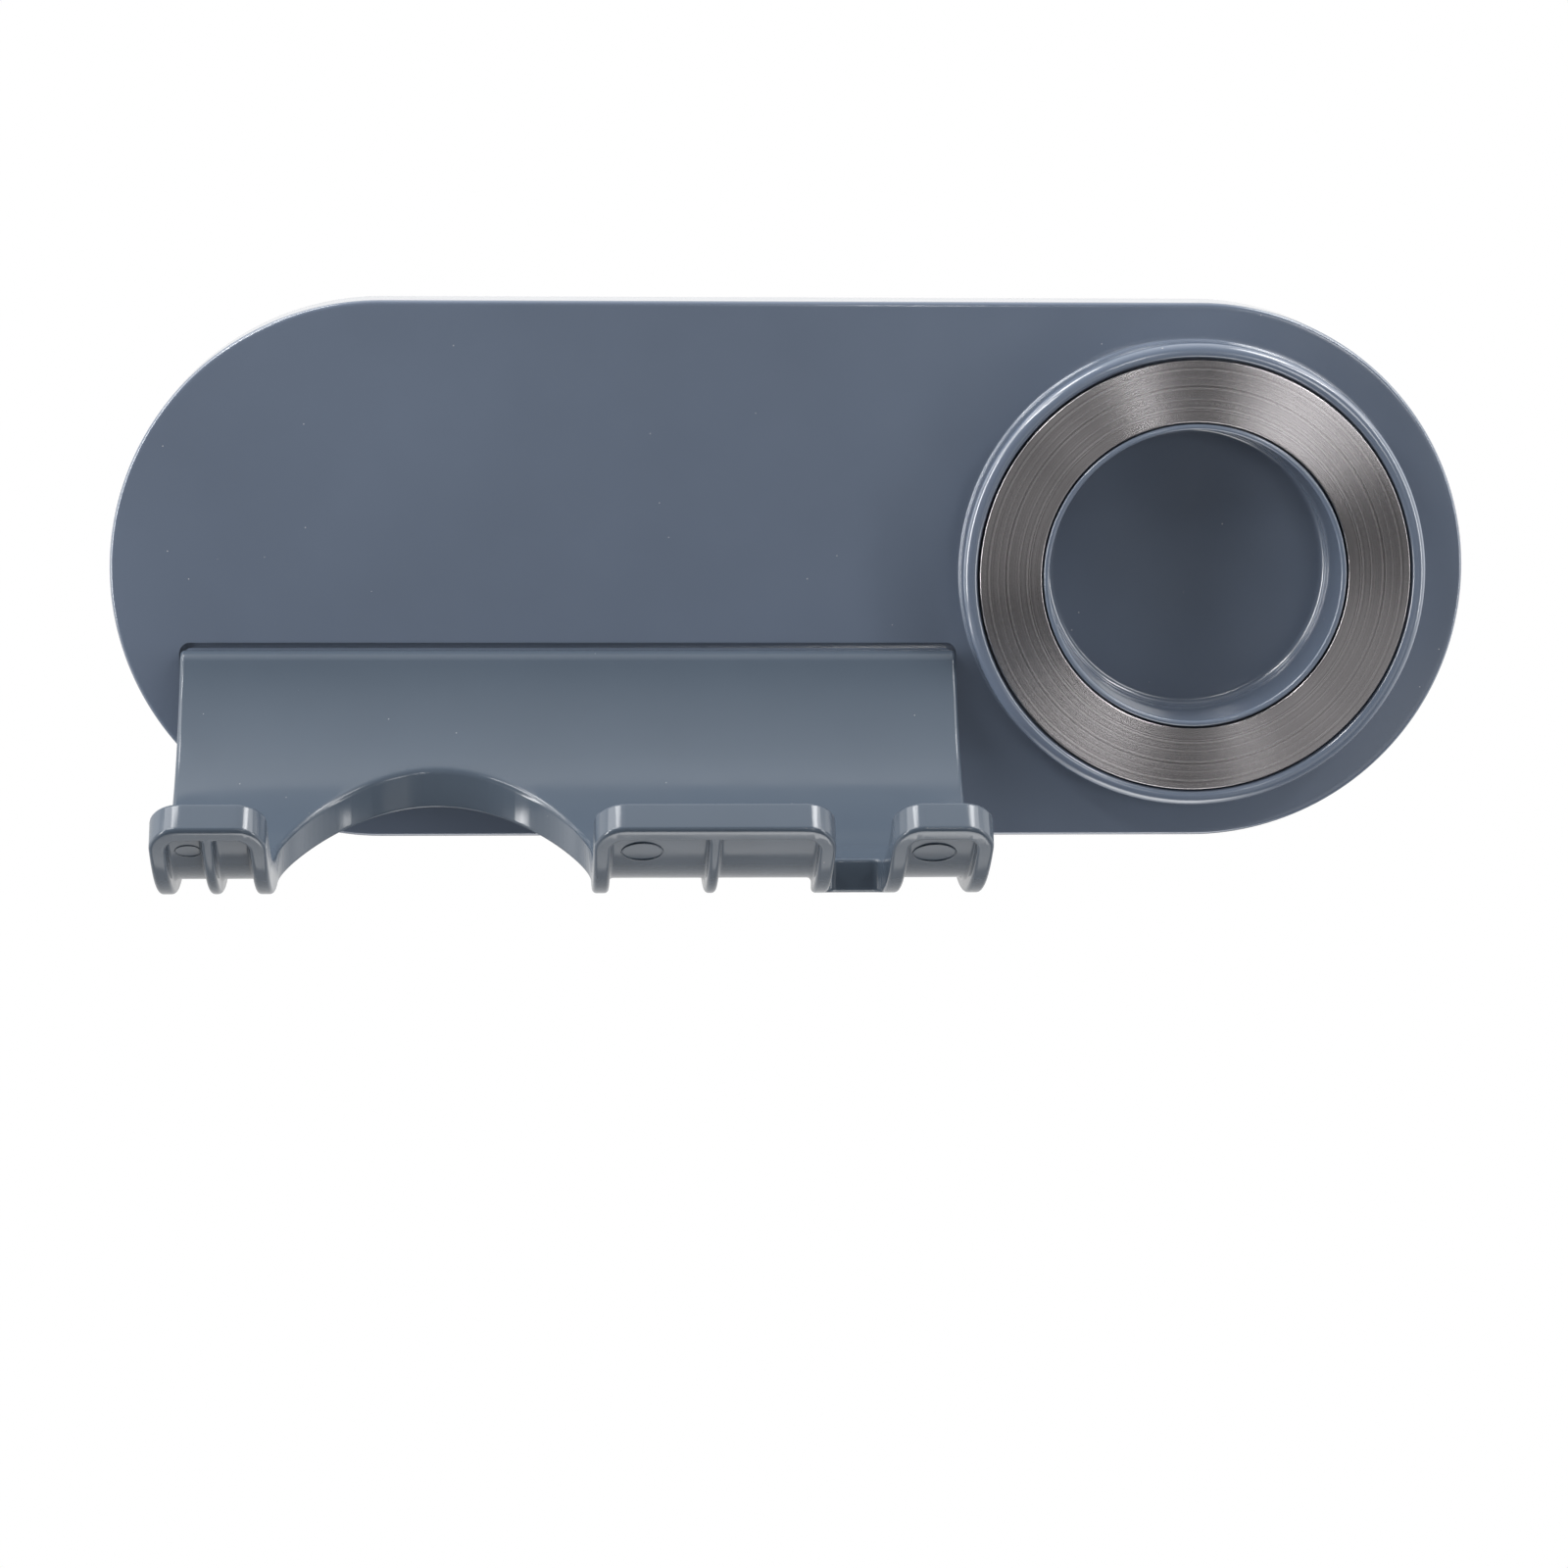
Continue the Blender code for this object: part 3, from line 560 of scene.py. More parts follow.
CUP_BOTTOM = 23.8 * MM
CUP_FLOOR = 5.1 * MM
CUP_FLOOR_BACK = 3.4 * MM
CUP_CORNER_ROUND = 1.2 * MM
CUP_WALL = 1.6 * MM
SEAT_LEFT = -101.75 * MM
SEAT_RIGHT = 27.95 * MM
SEAT_TOP = -12.2 * MM
SEAT_BOTTOM = -25.0 * MM
SEAT_CORNER = 1.8 * MM
SEAT_GROOVE = 0.9 * MM
SEAT_FLOOR = PLATE_FRONT - 1.0 * MM
COLLAR_STEPS = 256
ROUND_STEPS = 8
MERGE_DISTANCE = 0.001 * MM
MOULDING_SHARP_ANGLE = 40.0
COAT_ROUGHNESS = 0.12

shell_plastic = plastic("shell_plastic", (0.118, 0.146, 0.198), gloss=0.16, dust=1.0, peel=0.06)
shell_shader = shell_plastic.node_tree.nodes["Principled BSDF"]
shell_shader.inputs["Coat Weight"].default_value = 1.0
shell_shader.inputs["Coat Roughness"].default_value = COAT_ROUGHNESS
shell_low, shell_high = box_corners("front_shell")
shell_back = -shell_high.y
collar_front = -shell_low.y


def arc_points(centre, radius, start, end, steps=ROUND_STEPS):
    """Flat points round part of a circle, from one angle to another in degrees."""
    points = []
    for step in range(steps + 1):
        angle = math.radians(start + (end - start) * step / steps)
        points.append((centre[0] + radius * math.cos(angle), centre[1] + radius * math.sin(angle)))
    return points


def plate_loops(profile):
    """Oblong loops for a profile of (inset from the plate's edge, distance out from the wall)."""
    return [oblong_loop(shell_low, shell_high, inset, -out) for inset, out in profile]


def collar_loops(profile):
    """Round loops about the collar's axis for a profile of (radius, distance out from the wall)."""
    return [round_loop(COLLAR_X, 0.0, radius, -out, COLLAR_STEPS) for radius, out in profile]


shape = bmesh.new()
seat_low = Vector((SEAT_LEFT, 0.0, SEAT_BOTTOM))
seat_high = Vector((SEAT_RIGHT, 0.0, SEAT_TOP))
seat_profile = (
    (0.0, PLATE_FRONT),
    (0.0, SEAT_FLOOR),
    (SEAT_GROOVE, SEAT_FLOOR),
    (SEAT_GROOVE, PLATE_FRONT),
)
seat_loops = []
for inset, out in seat_profile:
    seat_loops.append(rounded_box_loop(seat_low, seat_high, SEAT_CORNER, inset, -out))
seat = add_loops(shape, seat_loops)

side_profile = [
    (SHELL_WALL + FLAT_MARGIN, PLATE_INSIDE),
    (SHELL_WALL, PLATE_INSIDE),
    (SHELL_WALL, PLATE_INSIDE - FLAT_MARGIN),
]
inner_back = (SHELL_WALL - BACK_EDGE_ROUND, shell_back + BACK_EDGE_ROUND)
side_profile += arc_points(inner_back, BACK_EDGE_ROUND, 0.0, -90.0)
outer_back = (BACK_EDGE_ROUND, shell_back + BACK_EDGE_ROUND)
side_profile += arc_points(outer_back, BACK_EDGE_ROUND, -90.0, -180.0)
side_profile.append((0.0, shell_back + BACK_EDGE_ROUND + FLAT_MARGIN))
side_profile.append((0.0, PLATE_FRONT - PLATE_EDGE_ROUND - FLAT_MARGIN))
front_edge = (PLATE_EDGE_ROUND, PLATE_FRONT - PLATE_EDGE_ROUND)
side_profile += arc_points(front_edge, PLATE_EDGE_ROUND, 180.0, 90.0)
side_profile.append((PLATE_EDGE_ROUND + FLAT_MARGIN, PLATE_FRONT))
sides = add_loops(shape, plate_loops(side_profile))

foot = (COLLAR_RADIUS + COLLAR_FOOT_ROUND, PLATE_FRONT + COLLAR_FOOT_ROUND)
collar_profile = [(foot[0] + FLAT_MARGIN, PLATE_FRONT)]
collar_profile += arc_points(foot, COLLAR_FOOT_ROUND, -90.0, -180.0)
collar_profile.append((COLLAR_RADIUS, foot[1] + FLAT_MARGIN))
collar_profile.append((COLLAR_RADIUS, collar_front - COLLAR_EDGE_ROUND - FLAT_MARGIN))
rim = (COLLAR_RADIUS - COLLAR_EDGE_ROUND, collar_front - COLLAR_EDGE_ROUND)
collar_profile += arc_points(rim, COLLAR_EDGE_ROUND, 0.0, 90.0)
rim_inner = (GROOVE_OUTER + RIM_EDGE_ROUND, collar_front - RIM_EDGE_ROUND)
collar_profile += arc_points(rim_inner, RIM_EDGE_ROUND, 90.0, 180.0)
collar_profile += [(GROOVE_OUTER, GROOVE_BACK), (GROOVE_INNER, GROOVE_BACK)]
lip_outer = (GROOVE_INNER - LIP_EDGE_ROUND, collar_front - LIP_EDGE_ROUND)
collar_profile += arc_points(lip_outer, LIP_EDGE_ROUND, 0.0, 90.0)
lip_inner = (CUP_MOUTH + LIP_EDGE_ROUND, collar_front - LIP_EDGE_ROUND)
collar_profile += arc_points(lip_inner, LIP_EDGE_ROUND, 90.0, 180.0)
cup_corner = (CUP_BOTTOM - CUP_CORNER_ROUND, CUP_FLOOR + CUP_CORNER_ROUND)
collar_profile += arc_points(cup_corner, CUP_CORNER_ROUND, 0.0, -90.0)
collar_profile.append((cup_corner[0] - FLAT_MARGIN, CUP_FLOOR))
fronts = add_loops(shape, collar_loops(collar_profile))

hollow_profile = [
    (COLLAR_RADIUS - COLLAR_WALL, PLATE_INSIDE),
    (COLLAR_RADIUS - COLLAR_WALL, COLLAR_INSIDE),
    (CUP_MOUTH + CUP_WALL, COLLAR_INSIDE),
    (CUP_BOTTOM + CUP_WALL, CUP_FLOOR_BACK),
]
hollows = add_loops(shape, collar_loops(hollow_profile))
fill_between(shape, [sides[-1], fronts[0], seat[0]])
fill_between(shape, [seat[-1]])
fill_between(shape, [sides[0], hollows[0]])
fill_between(shape, [fronts[-1]])
fill_between(shape, [hollows[-1]])
bmesh.ops.remove_doubles(shape, verts=shape.verts, dist=MERGE_DISTANCE)
shell = finish_mesh(shape, "shell_moulding", shell_plastic, MOULDING_SHARP_ANGLE)
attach(shell, "root")
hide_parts("front_shell")

# Ring tape: a thin black double-sided tape, die-cut to the groove, that holds the ring down.
# It stays the CAD solid and only gets its surface.
TAPE_GRAIN_SCALE = 700.0
TAPE_COLOURS = ((0.042, 0.042, 0.042), (0.060, 0.060, 0.060))
TAPE_ROUGHNESS = (0.7, 0.85)

tape, tape_tree, tape_shader = new_material("ring_tape")
tape_grain = noise_node(tape_tree, TAPE_GRAIN_SCALE, detail=4.0, seed=5.0)
vary_colour(tape_tree, tape_shader, tape_grain, "Fac", NOISE_RANGE, TAPE_COLOURS)
vary_roughness(tape_tree, tape_shader, tape_grain, "Fac", NOISE_RANGE, TAPE_ROUGHNESS)
frame["nodes"]["ring_tape"].data.materials[0] = tape

# Steel ring: a flat washer of magnetic stainless steel, turned on its face.
# It lies flush in the collar's groove with a fine gap on both sides, and the ring tape holds it.
RING_OUTER = 36.0 * MM
RING_INNER = 25.7 * MM
RING_EDGE_ROUND = 0.2 * MM
RING_LINE = 0.35 * MM
STEEL_COLOURS = ((0.38, 0.36, 0.37), (0.54, 0.52, 0.53))
STEEL_ROUGHNESS = (0.22, 0.28)
STEEL_STREAK = 0.95
STEEL_STREAK_TURN = 0.25

steel, steel_tree, steel_shader = new_material("ring_steel")
steel_shader.inputs["Metallic"].default_value = 1.0
steel_shader.inputs["Anisotropic"].default_value = STEEL_STREAK
steel_shader.inputs["Anisotropic Rotation"].default_value = STEEL_STREAK_TURN
ring_place = steel_tree.nodes.new("ShaderNodeTexCoord")
ring_centred = steel_tree.nodes.new("ShaderNodeMapping")
ring_centred.inputs["Location"].default_value = (-COLLAR_X, 0.0, 0.0)
ring_centred.inputs["Scale"].default_value = (1.0, 0.0, 1.0)
link(steel_tree, ring_place, "Object", ring_centred, "Vector")
ring_radius = steel_tree.nodes.new("ShaderNodeVectorMath")
ring_radius.operation = "LENGTH"
link(steel_tree, ring_centred, "Vector", ring_radius, 0)
ring_lines = steel_tree.nodes.new("ShaderNodeTexNoise")
ring_lines.noise_dimensions = "1D"
ring_lines.inputs["Scale"].default_value = 1.0 / RING_LINE
ring_lines.inputs["Detail"].default_value = 3.0
link(steel_tree, ring_radius, "Value", ring_lines, "W")
vary_colour(steel_tree, steel_shader, ring_lines, "Fac", NOISE_RANGE, STEEL_COLOURS)
vary_roughness(steel_tree, steel_shader, ring_lines, "Fac", NOISE_RANGE, STEEL_ROUGHNESS)
ring_tangent = steel_tree.nodes.new("ShaderNodeTangent")
ring_tangent.direction_type = "RADIAL"
ring_tangent.axis = "Y"
link(steel_tree, ring_tangent, "Tangent", steel_shader, "Tangent")
add_bump(steel_tree, steel_shader, ring_lines, "Fac", strength=0.06, distance=0.02 * MM)

ring_low, ring_high = box_corners("steel_ring")
ring_front = -ring_low.y
ring_back = -ring_high.y
edge = RING_EDGE_ROUND
ring_profile = [(RING_OUTER, ring_back), (RING_OUTER, ring_front - 2 * edge)]
ring_profile += arc_points((RING_OUTER - edge, ring_front - edge), edge, 0.0, 90.0)
ring_profile.append((RING_OUTER - 2 * edge, ring_front))
ring_profile.append((RING_INNER + 2 * edge, ring_front))
ring_profile += arc_points((RING_INNER + edge, ring_front - edge), edge, 90.0, 180.0)
ring_profile += [(RING_INNER, ring_front - 2 * edge), (RING_INNER, ring_back)]
shape = bmesh.new()
rings = add_loops(shape, collar_loops(ring_profile))
for index in range(COLLAR_STEPS):
    after = (index + 1) % COLLAR_STEPS
    shape.faces.new((rings[-1][index], rings[-1][after], rings[0][after], rings[0][index]))
ring = finish_mesh(shape, "turned_ring", steel)
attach(ring, "root")
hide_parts("steel_ring")

# Cradle screws: four zinc-plated pan head screws inside the shell that hold the cradle from behind.
# They stay the CAD solids and only get their surface.
for number in range(1, 5):
    frame["nodes"][f"cradle_screw_{number}"].data.materials[0] = zinc

# Cradle: a separate glossy moulding, a trough with a wide notch, a narrow slot and three tabs.
# Its outer side has a raised rim, a rib on the two wider tabs and a web at each end.
# It rests against the plate, and the cradle screws go into the bosses on its back.
CRADLE_LEFT = -101.4 * MM
CRADLE_RIGHT = 27.6 * MM
CRADLE_BACK = 11.4 * MM
TROUGH_RADIUS = 44.0 * MM
TROUGH_OUT = 55.1 * MM
TROUGH_Z = 4.1 * MM
TOP_Z = -12.5 * MM
TAB_END_ANGLE = math.radians(47.2)
TOP_ANGLE = -math.acos((TROUGH_Z - TOP_Z) / TROUGH_RADIUS)
CRADLE_SKIN = 3.0 * MM
RIM_HEIGHT = 2.4 * MM
RIM_WIDTH = 2.6 * MM
RIM_RADIUS = TROUGH_RADIUS + CRADLE_SKIN + RIM_HEIGHT
SKIN_MIDDLE = TROUGH_RADIUS + CRADLE_SKIN / 2
TAB_CORNER = 4.8 * MM
TAB_STEPS = 10
NOTCH_X = -58.6 * MM
NOTCH_RADIUS = 24.9 * MM
NOTCH_REACH = 42.0 * MM
NOTCH_STEPS = 64
SLOT_LEFT = 3.4 * MM
SLOT_RIGHT = 12.0 * MM
SLOT_REACH = 52.0 * MM
SLOT_CORNER = 1.5 * MM
SLOT_STEPS = 5
TOP_ROUND = 2.3 * MM
TOP_ROUND_STEPS = 8
EDGE_ROUND = 0.7 * MM
EDGE_ROUND_STEPS = 4
RIB_WIDTH = 1.8 * MM
RIB_MIDDLES = (-92.45 * MM, -15.15 * MM)
WEB_WIDTH = 3.0 * MM
WEB_SETBACK = 0.5 * MM
WEB_FOOT_Z = -31.0 * MM
WEB_STEPS = 40
BOSS_RADIUS = 4.0 * MM
BOSS_Z = -25.0 * MM
BOSS_MIDDLES = (-92.45 * MM, -58.6 * MM, -15.15 * MM, 19.8 * MM)
BEND_STEPS = 84
CROSS_STEPS = 48
TOLERANCE = 1e-7

cradle_plastic = plastic("cradle_plastic", (0.070, 0.090, 0.118), gloss=0.14, dust=0.6, peel=0.06)
top_length = TROUGH_RADIUS * TOP_ANGLE
end_length = TROUGH_RADIUS * TAB_END_ANGLE


def reach_to_length(reach):
    """Length along the trough, from its lowest line, to a distance out from the plate."""
    return TROUGH_RADIUS * math.asin((reach - TROUGH_RADIUS) / TROUGH_RADIUS)


def tab_end(left, right):
    """The rounded end of a tab of the rolled-out cradle, from right to left."""
    centre = end_length - TAB_CORNER
    points = arc_points((right - TAB_CORNER, centre), TAB_CORNER, 0.0, 90.0, TAB_STEPS)
    points += arc_points((left + TAB_CORNER, centre), TAB_CORNER, 90.0, 180.0, TAB_STEPS)
    return points


def cradle_outline():
    """The cradle rolled out flat: x along the wall and length along the trough."""
    slot_back = reach_to_length(SLOT_REACH) + SLOT_CORNER
    outline = [(CRADLE_LEFT, top_length), (CRADLE_RIGHT, top_length)]
    outline += tab_end(SLOT_RIGHT, CRADLE_RIGHT)
    outline += arc_points((SLOT_RIGHT - SLOT_CORNER, slot_back), SLOT_CORNER, 0.0, -90.0, SLOT_STEPS)
    outline += arc_points((SLOT_LEFT + SLOT_CORNER, slot_back), SLOT_CORNER, -90.0, -180.0, SLOT_STEPS)
    outline += tab_end(NOTCH_X + NOTCH_RADIUS, SLOT_LEFT)
    for x, reach in arc_points((NOTCH_X, NOTCH_REACH), NOTCH_RADIUS, 0.0, -180.0, NOTCH_STEPS):
        outline.append((x, reach_to_length(reach)))
    outline += tab_end(CRADLE_LEFT, NOTCH_X - NOTCH_RADIUS)
    return outline


def trough_point(x, radius, angle):
    """A point at a radius about the trough's axis, by its angle from straight down, outwards."""
    return Vector((x, -TROUGH_OUT - radius * math.sin(angle), TROUGH_Z - radius * math.cos(angle)))


def bend_into_trough(point):
    """Roll a point of the flat cradle (x, length, depth of wall) onto the trough."""
    angle = point.y / TROUGH_RADIUS
    radius = TROUGH_RADIUS + point.z
    # Cut edges stand upright in the middle of the trough and square to the skin at both its ends.
    upright = math.asin(TROUGH_RADIUS * math.sin(angle) / radius)
    front = (TAB_END_ANGLE - angle) / (TAB_END_ANGLE / 2)
    back = (angle - TOP_ANGLE) / (-TOP_ANGLE / 3)
    share = max(0.0, min(1.0, front, back))
    share = share * share * (3 - 2 * share)
    return trough_point(point.x, radius, (1 - share) * angle + share * upright)


def of_kind(result, kind):
    """The vertices, or the faces, that a bmesh operator gives back."""
    return [item for item in result["geom"] if isinstance(item, kind)]


def sharp_edges(shape):
    """The edges at which a shape turns sharply."""
    sharp = math.radians(MOULDING_SHARP_ANGLE)
    return [edge for edge in shape.edges if edge.calc_face_angle(0.0) > sharp]


def on_top_edge(edge):
    """Whether an edge of the flat cradle lies along the trough's top, on its inner side."""
    return all(abs(end.co.y - top_length) < TOLERANCE and end.co.z < TOLERANCE for end in edge.verts)


def slice_shape(shape, place, normal, clear_outer=False):
    """Cut a whole shape along a plane, and drop what lies beyond it if asked."""
    whole = list(shape.verts) + list(shape.edges) + list(shape.faces)
    bmesh.ops.bisect_plane(shape, geom=whole, plane_co=place, plane_no=normal, clear_outer=clear_outer)


# The cradle starts flat: its outline is raised to the rim's height, and the pockets between the rim
# and the ribs are sunk to the skin.
shape = bmesh.new()
inner_face = shape.faces.new([shape.verts.new((x, length, 0.0)) for x, length in cradle_outline()])
raised = bmesh.ops.extrude_face_region(shape, geom=[inner_face])
raised_verts = of_kind(raised, bmesh.types.BMVert)
bmesh.ops.translate(shape, verts=raised_verts, vec=(0.0, 0.0, CRADLE_SKIN + RIM_HEIGHT))
bmesh.ops.recalc_face_normals(shape, faces=shape.faces)
outer_face = max(shape.faces, key=lambda face: face.calc_center_median().z)
bmesh.ops.inset_region(shape, faces=[outer_face], thickness=RIM_WIDTH, use_even_offset=True)
panels = [outer_face]
for middle in RIB_MIDDLES:
    for side in (middle - RIB_WIDTH / 2, middle + RIB_WIDTH / 2):
        ends = dict.fromkeys(vertex for face in panels for vertex in face.verts)
        edges = dict.fromkeys(edge for face in panels for edge in face.edges)
        parts = [*ends, *edges, *panels]
        split = bmesh.ops.bisect_plane(shape, geom=parts, plane_co=(side, 0.0, 0.0), plane_no=(1.0, 0.0, 0.0))
        panels = of_kind(split, bmesh.types.BMFace)
pockets = []
for face in panels:
    middle = face.calc_center_bounds().x
    if min(abs(middle - rib) for rib in RIB_MIDDLES) > RIB_WIDTH / 4:
        pockets.append(face)
lowered = bmesh.ops.extrude_face_region(shape, geom=pockets)
floor_verts = of_kind(lowered, bmesh.types.BMVert)
bmesh.ops.translate(shape, verts=floor_verts, vec=(0.0, 0.0, -RIM_HEIGHT))
bmesh.ops.delete(shape, geom=[face for face in pockets if face.is_valid], context="FACES")
bmesh.ops.recalc_face_normals(shape, faces=shape.faces)

# Its edges are rounded, and it is cut into strips, rolled into the trough and trimmed at the plate.
top_edges = [edge for edge in sharp_edges(shape) if on_top_edge(edge)]
rounding = {"profile": 0.5, "affect": "EDGES"}
bmesh.ops.bevel(shape, geom=top_edges, offset=TOP_ROUND, segments=TOP_ROUND_STEPS, **rounding)
rounding["clamp_overlap"] = True
small_edges = sharp_edges(shape)
bmesh.ops.bevel(shape, geom=small_edges, offset=EDGE_ROUND, segments=EDGE_ROUND_STEPS, **rounding)
for step in range(1, BEND_STEPS):
    length = top_length + (end_length - top_length) * step / BEND_STEPS
    slice_shape(shape, (0.0, length, 0.0), (0.0, 1.0, 0.0))
for step in range(1, CROSS_STEPS):
    x = CRADLE_LEFT + (CRADLE_RIGHT - CRADLE_LEFT) * step / CROSS_STEPS
    slice_shape(shape, (x, 0.0, 0.0), (1.0, 0.0, 0.0))
bmesh.ops.triangulate(shape, faces=[face for face in shape.faces if len(face.verts) > 4])
for vertex in shape.verts:
    vertex.co = bend_into_trough(vertex.co)
slice_shape(shape, (0.0, -CRADLE_BACK, 0.0), (0.0, 1.0, 0.0), clear_outer=True)
open_edges = [edge for edge in shape.edges if edge.is_boundary]
bmesh.ops.triangle_fill(shape, use_beauty=True, use_dissolve=False, edges=open_edges)
cradle = finish_mesh(shape, "cradle_moulding", cradle_plastic, MOULDING_SHARP_ANGLE)

# The webs run from the plate along the skin to where their lower edge meets the rim.
foot_out = CRADLE_BACK - TROUGH_OUT
foot_drop = TROUGH_Z - WEB_FOOT_Z
tangent = math.atan2(foot_out, foot_drop) + math.acos(RIM_RADIUS / math.hypot(foot_out, foot_drop))
web_start = TOP_ANGLE + CRADLE_SKIN / TROUGH_RADIUS
web_angles = [web_start + (tangent - web_start) * step / WEB_STEPS for step in range(WEB_STEPS + 1)]


def web_loop(x):
    """The outline of a web's side at one place along the wall."""
    skin = [trough_point(x, SKIN_MIDDLE, angle) for angle in web_angles]
    start = Vector((x, -CRADLE_BACK, skin[0].z))
    foot = Vector((x, -CRADLE_BACK, WEB_FOOT_Z))
    return [start, *skin, trough_point(x, RIM_RADIUS, tangent), foot]


stiffeners = bpy.data.collections.new("stiffeners")
for left in (CRADLE_LEFT + WEB_SETBACK, CRADLE_RIGHT - WEB_SETBACK - WEB_WIDTH):
    shape = bmesh.new()
    rings = add_loops(shape, [web_loop(left), web_loop(left + WEB_WIDTH)])
    fill_between(shape, [rings[0]])
    fill_between(shape, [rings[1]])
    stiffeners.objects.link(finish_mesh(shape, "web", cradle_plastic))
for middle in BOSS_MIDDLES:
    shape = bmesh.new()
    back_loop = round_loop(middle, BOSS_Z, BOSS_RADIUS, -CRADLE_BACK, HOLE_STEPS)
    front_loop = []
    for point in back_loop:
        reach = math.sqrt(SKIN_MIDDLE ** 2 - (TROUGH_Z - point.z) ** 2)
        front_loop.append(Vector((point.x, reach - TROUGH_OUT, point.z)))
    rings = add_loops(shape, [back_loop, front_loop])
    shape.faces.new(rings[0])
    shape.faces.new(rings[1])
    stiffeners.objects.link(finish_mesh(shape, "boss", cradle_plastic))
joined = cradle.modifiers.new("stiffeners", "BOOLEAN")
joined.operation = "UNION"
joined.solver = "EXACT"
joined.operand_type = "COLLECTION"
joined.collection = stiffeners
apply_modifiers(cradle).set_sharp_from_angle(angle=math.radians(MOULDING_SHARP_ANGLE))
weighted = cradle.modifiers.new("weighted", "WEIGHTED_NORMAL")
weighted.keep_sharp = True
apply_modifiers(cradle)
for stiffener in list(stiffeners.objects):
    bpy.data.objects.remove(stiffener)
bpy.data.collections.remove(stiffeners)
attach(cradle, "root")
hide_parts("cradle")

# Ejector marks: the fine rings that the mould's ejector pins leave on the floors of the tabs' pockets.
# They are part of the cradle's moulding and have its plastic.
# Each has its x in mm, its angle from straight down in degrees and its radius in mm.
MARKS = ((-95.7, 35.3, 2.0), (-26.2, 34.6, 3.15), (18.9, 33.8, 3.3))
MARK_STEPS = 64
MARK_BEAD = 0.15 * MM
MARK_BEAD_STEPS = 8
MARK_USUAL_RADIUS = 3.0 * MM

mark_points = []
mark_radii = []
for x, degrees, radius in MARKS:
    mark_points.append(trough_point(x * MM, TROUGH_RADIUS + CRADLE_SKIN, math.radians(degrees)))
    mark_radii.append(radius * MM)
marks = points_object("ejector_marks", mark_points)
marks.data.attributes.new("mark_radius", "FLOAT", "POINT").data.foreach_set("value", mark_radii)
# A mark is a ring of radius 1, which its own radius then scales together with its bead.
mark_tree, entry, leave = node_tree("ejector_mark", ("Bead",))
circle_sizes = {"Resolution": MARK_STEPS, "Radius": 1.0}
circle = add_node(mark_tree, "GeometryNodeCurvePrimitiveCircle", circle_sizes)
bead = add_node(mark_tree, "GeometryNodeCurvePrimitiveCircle", {"Resolution": MARK_BEAD_STEPS})
link(mark_tree, entry, "Bead", bead, "Radius")
tube = mark_tree.nodes.new("GeometryNodeCurveToMesh")
link(mark_tree, circle, "Curve", tube, "Curve")
link(mark_tree, bead, "Curve", tube, "Profile Curve")
position = mark_tree.nodes.new("GeometryNodeInputPosition")
from_axis = mark_tree.nodes.new("ShaderNodeVectorMath")
from_axis.operation = "SUBTRACT"
from_axis.inputs[1].default_value = (0.0, -TROUGH_OUT, TROUGH_Z)
link(mark_tree, position, "Position", from_axis, 0)
outward = mark_tree.nodes.new("ShaderNodeVectorMath")
outward.operation = "MULTIPLY"
outward.inputs[1].default_value = (0.0, 1.0, 1.0)
link(mark_tree, from_axis, "Vector", outward, 0)
turn = mark_tree.nodes.new("FunctionNodeAlignRotationToVector")
turn.axis = "Z"
link(mark_tree, outward, "Vector", turn, "Vector")
size = mark_tree.nodes.new("GeometryNodeInputNamedAttribute")
size.data_type = "FLOAT"
size.inputs["Name"].default_value = "mark_radius"
spread = mark_tree.nodes.new("GeometryNodeInstanceOnPoints")
link(mark_tree, entry, "Geometry", spread, "Points")
link(mark_tree, tube, "Mesh", spread, "Instance")
link(mark_tree, turn, "Rotation", spread, "Rotation")
link(mark_tree, size, "Attribute", spread, "Scale")
realize(mark_tree, spread, cradle_plastic, leave)
evaluate_nodes(marks, mark_tree, {"Bead": MARK_BEAD / MARK_USUAL_RADIUS}).shade_smooth()
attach(marks, "root")

# Studio: soft boxes at the sides, above, below and near the camera, and a pale floor well below.
# The surround is plain white to the camera. As light it is dim in front and below and pale behind,
# above and at the sides; in reflections it is white, but dark behind the camera and dimmer below.
SURROUND_FRONT = 0.06
SURROUND_BACK = 0.85
SURROUND_SIDE = 0.9
SURROUND_BELOW = 0.3
SURROUND_ABOVE = 0.7
MIRRORED_FRONT = 0.09
# The parts of a direction's X, Y or Z over which the surround passes from one level to the other.
FRONT_TO_BACK = (-0.4, 0.5)
MIRRORED_TO_BACK = (-0.5, 0.1)
BELOW_TO_LEVEL = (-0.7, 0.1)
LEVEL_TO_ABOVE = (0.65, 1.0)
MIDDLE_TO_SIDE = (0.65, 0.9)
LAMP_AIM = Vector((0.0, -0.03, 0.0))
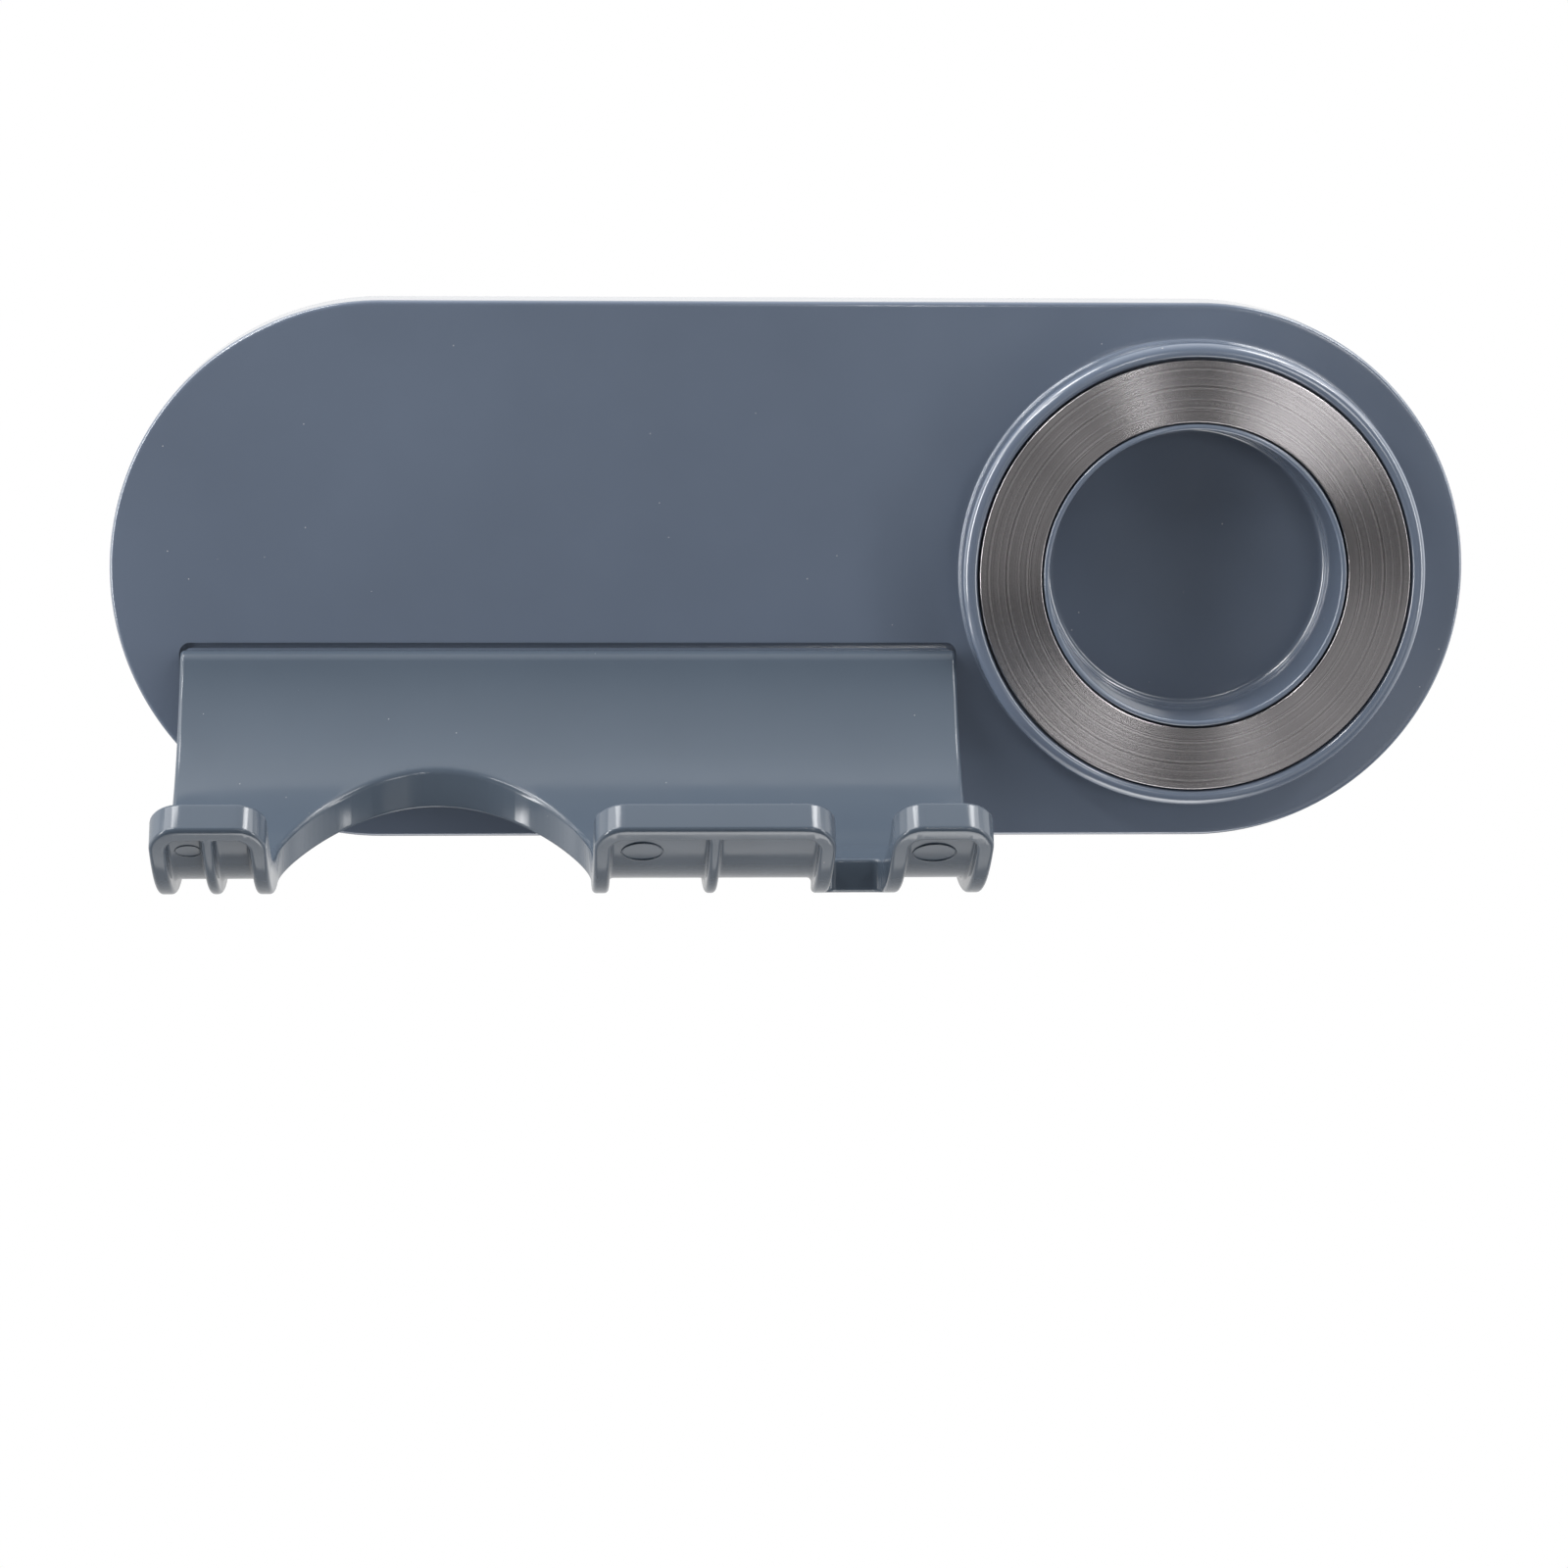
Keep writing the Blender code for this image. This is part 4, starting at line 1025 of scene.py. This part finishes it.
# Each lamp's name, place, width, height and brightness.
SOFT_BOXES = (
    ("side_left", (-0.68, -0.14, 0.70), 0.6, 0.6, 3.4),
    ("side_right", (0.68, -0.14, 0.70), 0.6, 0.6, 3.2),
    ("top_left", (-0.33, -0.06, 0.72), 0.2, 0.2, 10.0),
    ("top_right", (0.40, -0.06, 0.72), 0.2, 0.2, 10.0),
    ("below", (0.05, -0.15, -0.5), 0.3, 0.3, 3.0),
    ("front_right", (0.364, -0.90, 0.13), 0.22, 0.22, 4.5),
    ("front_top", (0.09, -0.90, 0.20), 0.025, 0.16, 19.0),
    ("front_low", (0.42, -0.90, -0.36), 0.4, 0.4, 0.7),
    ("strip_left", (-0.80, -0.34, 0.10), 0.12, 0.7, 18.0),
    ("strip_right", (0.80, -0.34, 0.10), 0.10, 0.7, 9.0),
    ("strip_top_left", (-0.52, -0.45, 0.62), 0.4, 0.07, 20.0),
    ("strip_top_right", (0.60, -0.45, 0.62), 0.4, 0.07, 16.0),
)
FLOOR_PLACE = (0.0, -0.05, -0.6)
FLOOR_RADIUS = 0.35
FLOOR_STEPS = 128
FLOOR_MOTTLE_SCALE = 6.0
FLOOR_COLOURS = ((0.78, 0.78, 0.78), (0.82, 0.82, 0.82))
FLOOR_ROUGHNESS = 0.9

world = bpy.data.worlds.new("studio")
world.use_nodes = True
scene.world = world
world_tree = world.node_tree
background = world_tree.nodes["Background"]
background.inputs["Color"].default_value = (1.0, 1.0, 1.0, 1.0)
direction = world_tree.nodes.new("ShaderNodeTexCoord")
along = world_tree.nodes.new("ShaderNodeSeparateXYZ")
link(world_tree, direction, "Generated", along, "Vector")
sideways = math_node(world_tree, "ABSOLUTE", (along, "X"))
depth = map_node(world_tree, along, "Y", FRONT_TO_BACK, (SURROUND_FRONT, SURROUND_BACK), smooth=True)
height = map_node(world_tree, along, "Z", BELOW_TO_LEVEL, (SURROUND_BELOW, 1.0))
canopy = map_node(world_tree, along, "Z", LEVEL_TO_ABOVE, (0.0, SURROUND_ABOVE), smooth=True)
flanks = map_node(world_tree, sideways, "Value", MIDDLE_TO_SIDE, (0.0, SURROUND_SIDE), smooth=True)
mirrored = map_node(world_tree, along, "Y", MIRRORED_TO_BACK, (MIRRORED_FRONT, 1.0), smooth=True)
room = math_node(world_tree, "MULTIPLY", (depth, "Result"), (height, "Result"))
around = math_node(world_tree, "ADD", (canopy, "Result"), (flanks, "Result"))
strength = math_node(world_tree, "ADD", (room, "Value"), (around, "Value"))
reflected = math_node(world_tree, "MULTIPLY", (mirrored, "Result"), (height, "Result"))
rays = world_tree.nodes.new("ShaderNodeLightPath")
glossy = math_node(world_tree, "MULTIPLY", (rays, "Is Glossy Ray"), (reflected, "Value"))
for source, label in ((rays, "Is Camera Ray"), (rays, "Is Transmission Ray"), (glossy, "Value")):
    strength = math_node(world_tree, "MAXIMUM", (strength, "Value"), (source, label))
link(world_tree, strength, "Value", background, "Strength")

for name, place, width, tall, brightness in SOFT_BOXES:
    lamp_data = bpy.data.lights.new(name, "AREA")
    lamp_data.shape = "RECTANGLE"
    lamp_data.size = width
    lamp_data.size_y = tall
    lamp_data.energy = brightness * math.pi * width * tall
    lamp = bpy.data.objects.new(name, lamp_data)
    scene.collection.objects.link(lamp)
    lamp.location = place
    lamp.rotation_euler = (LAMP_AIM - Vector(place)).to_track_quat("-Z", "Y").to_euler()

floor_material, floor_tree, floor_shader = new_material("floor")
floor_mottle = noise_node(floor_tree, FLOOR_MOTTLE_SCALE, detail=2.0, seed=6.0)
vary_colour(floor_tree, floor_shader, floor_mottle, "Fac", NOISE_RANGE, FLOOR_COLOURS)
floor_shader.inputs["Roughness"].default_value = FLOOR_ROUGHNESS
shape = bmesh.new()
bmesh.ops.create_circle(shape, cap_ends=True, radius=FLOOR_RADIUS, segments=FLOOR_STEPS)
bmesh.ops.translate(shape, verts=shape.verts, vec=FLOOR_PLACE)
floor = finish_mesh(shape, "floor", floor_material)
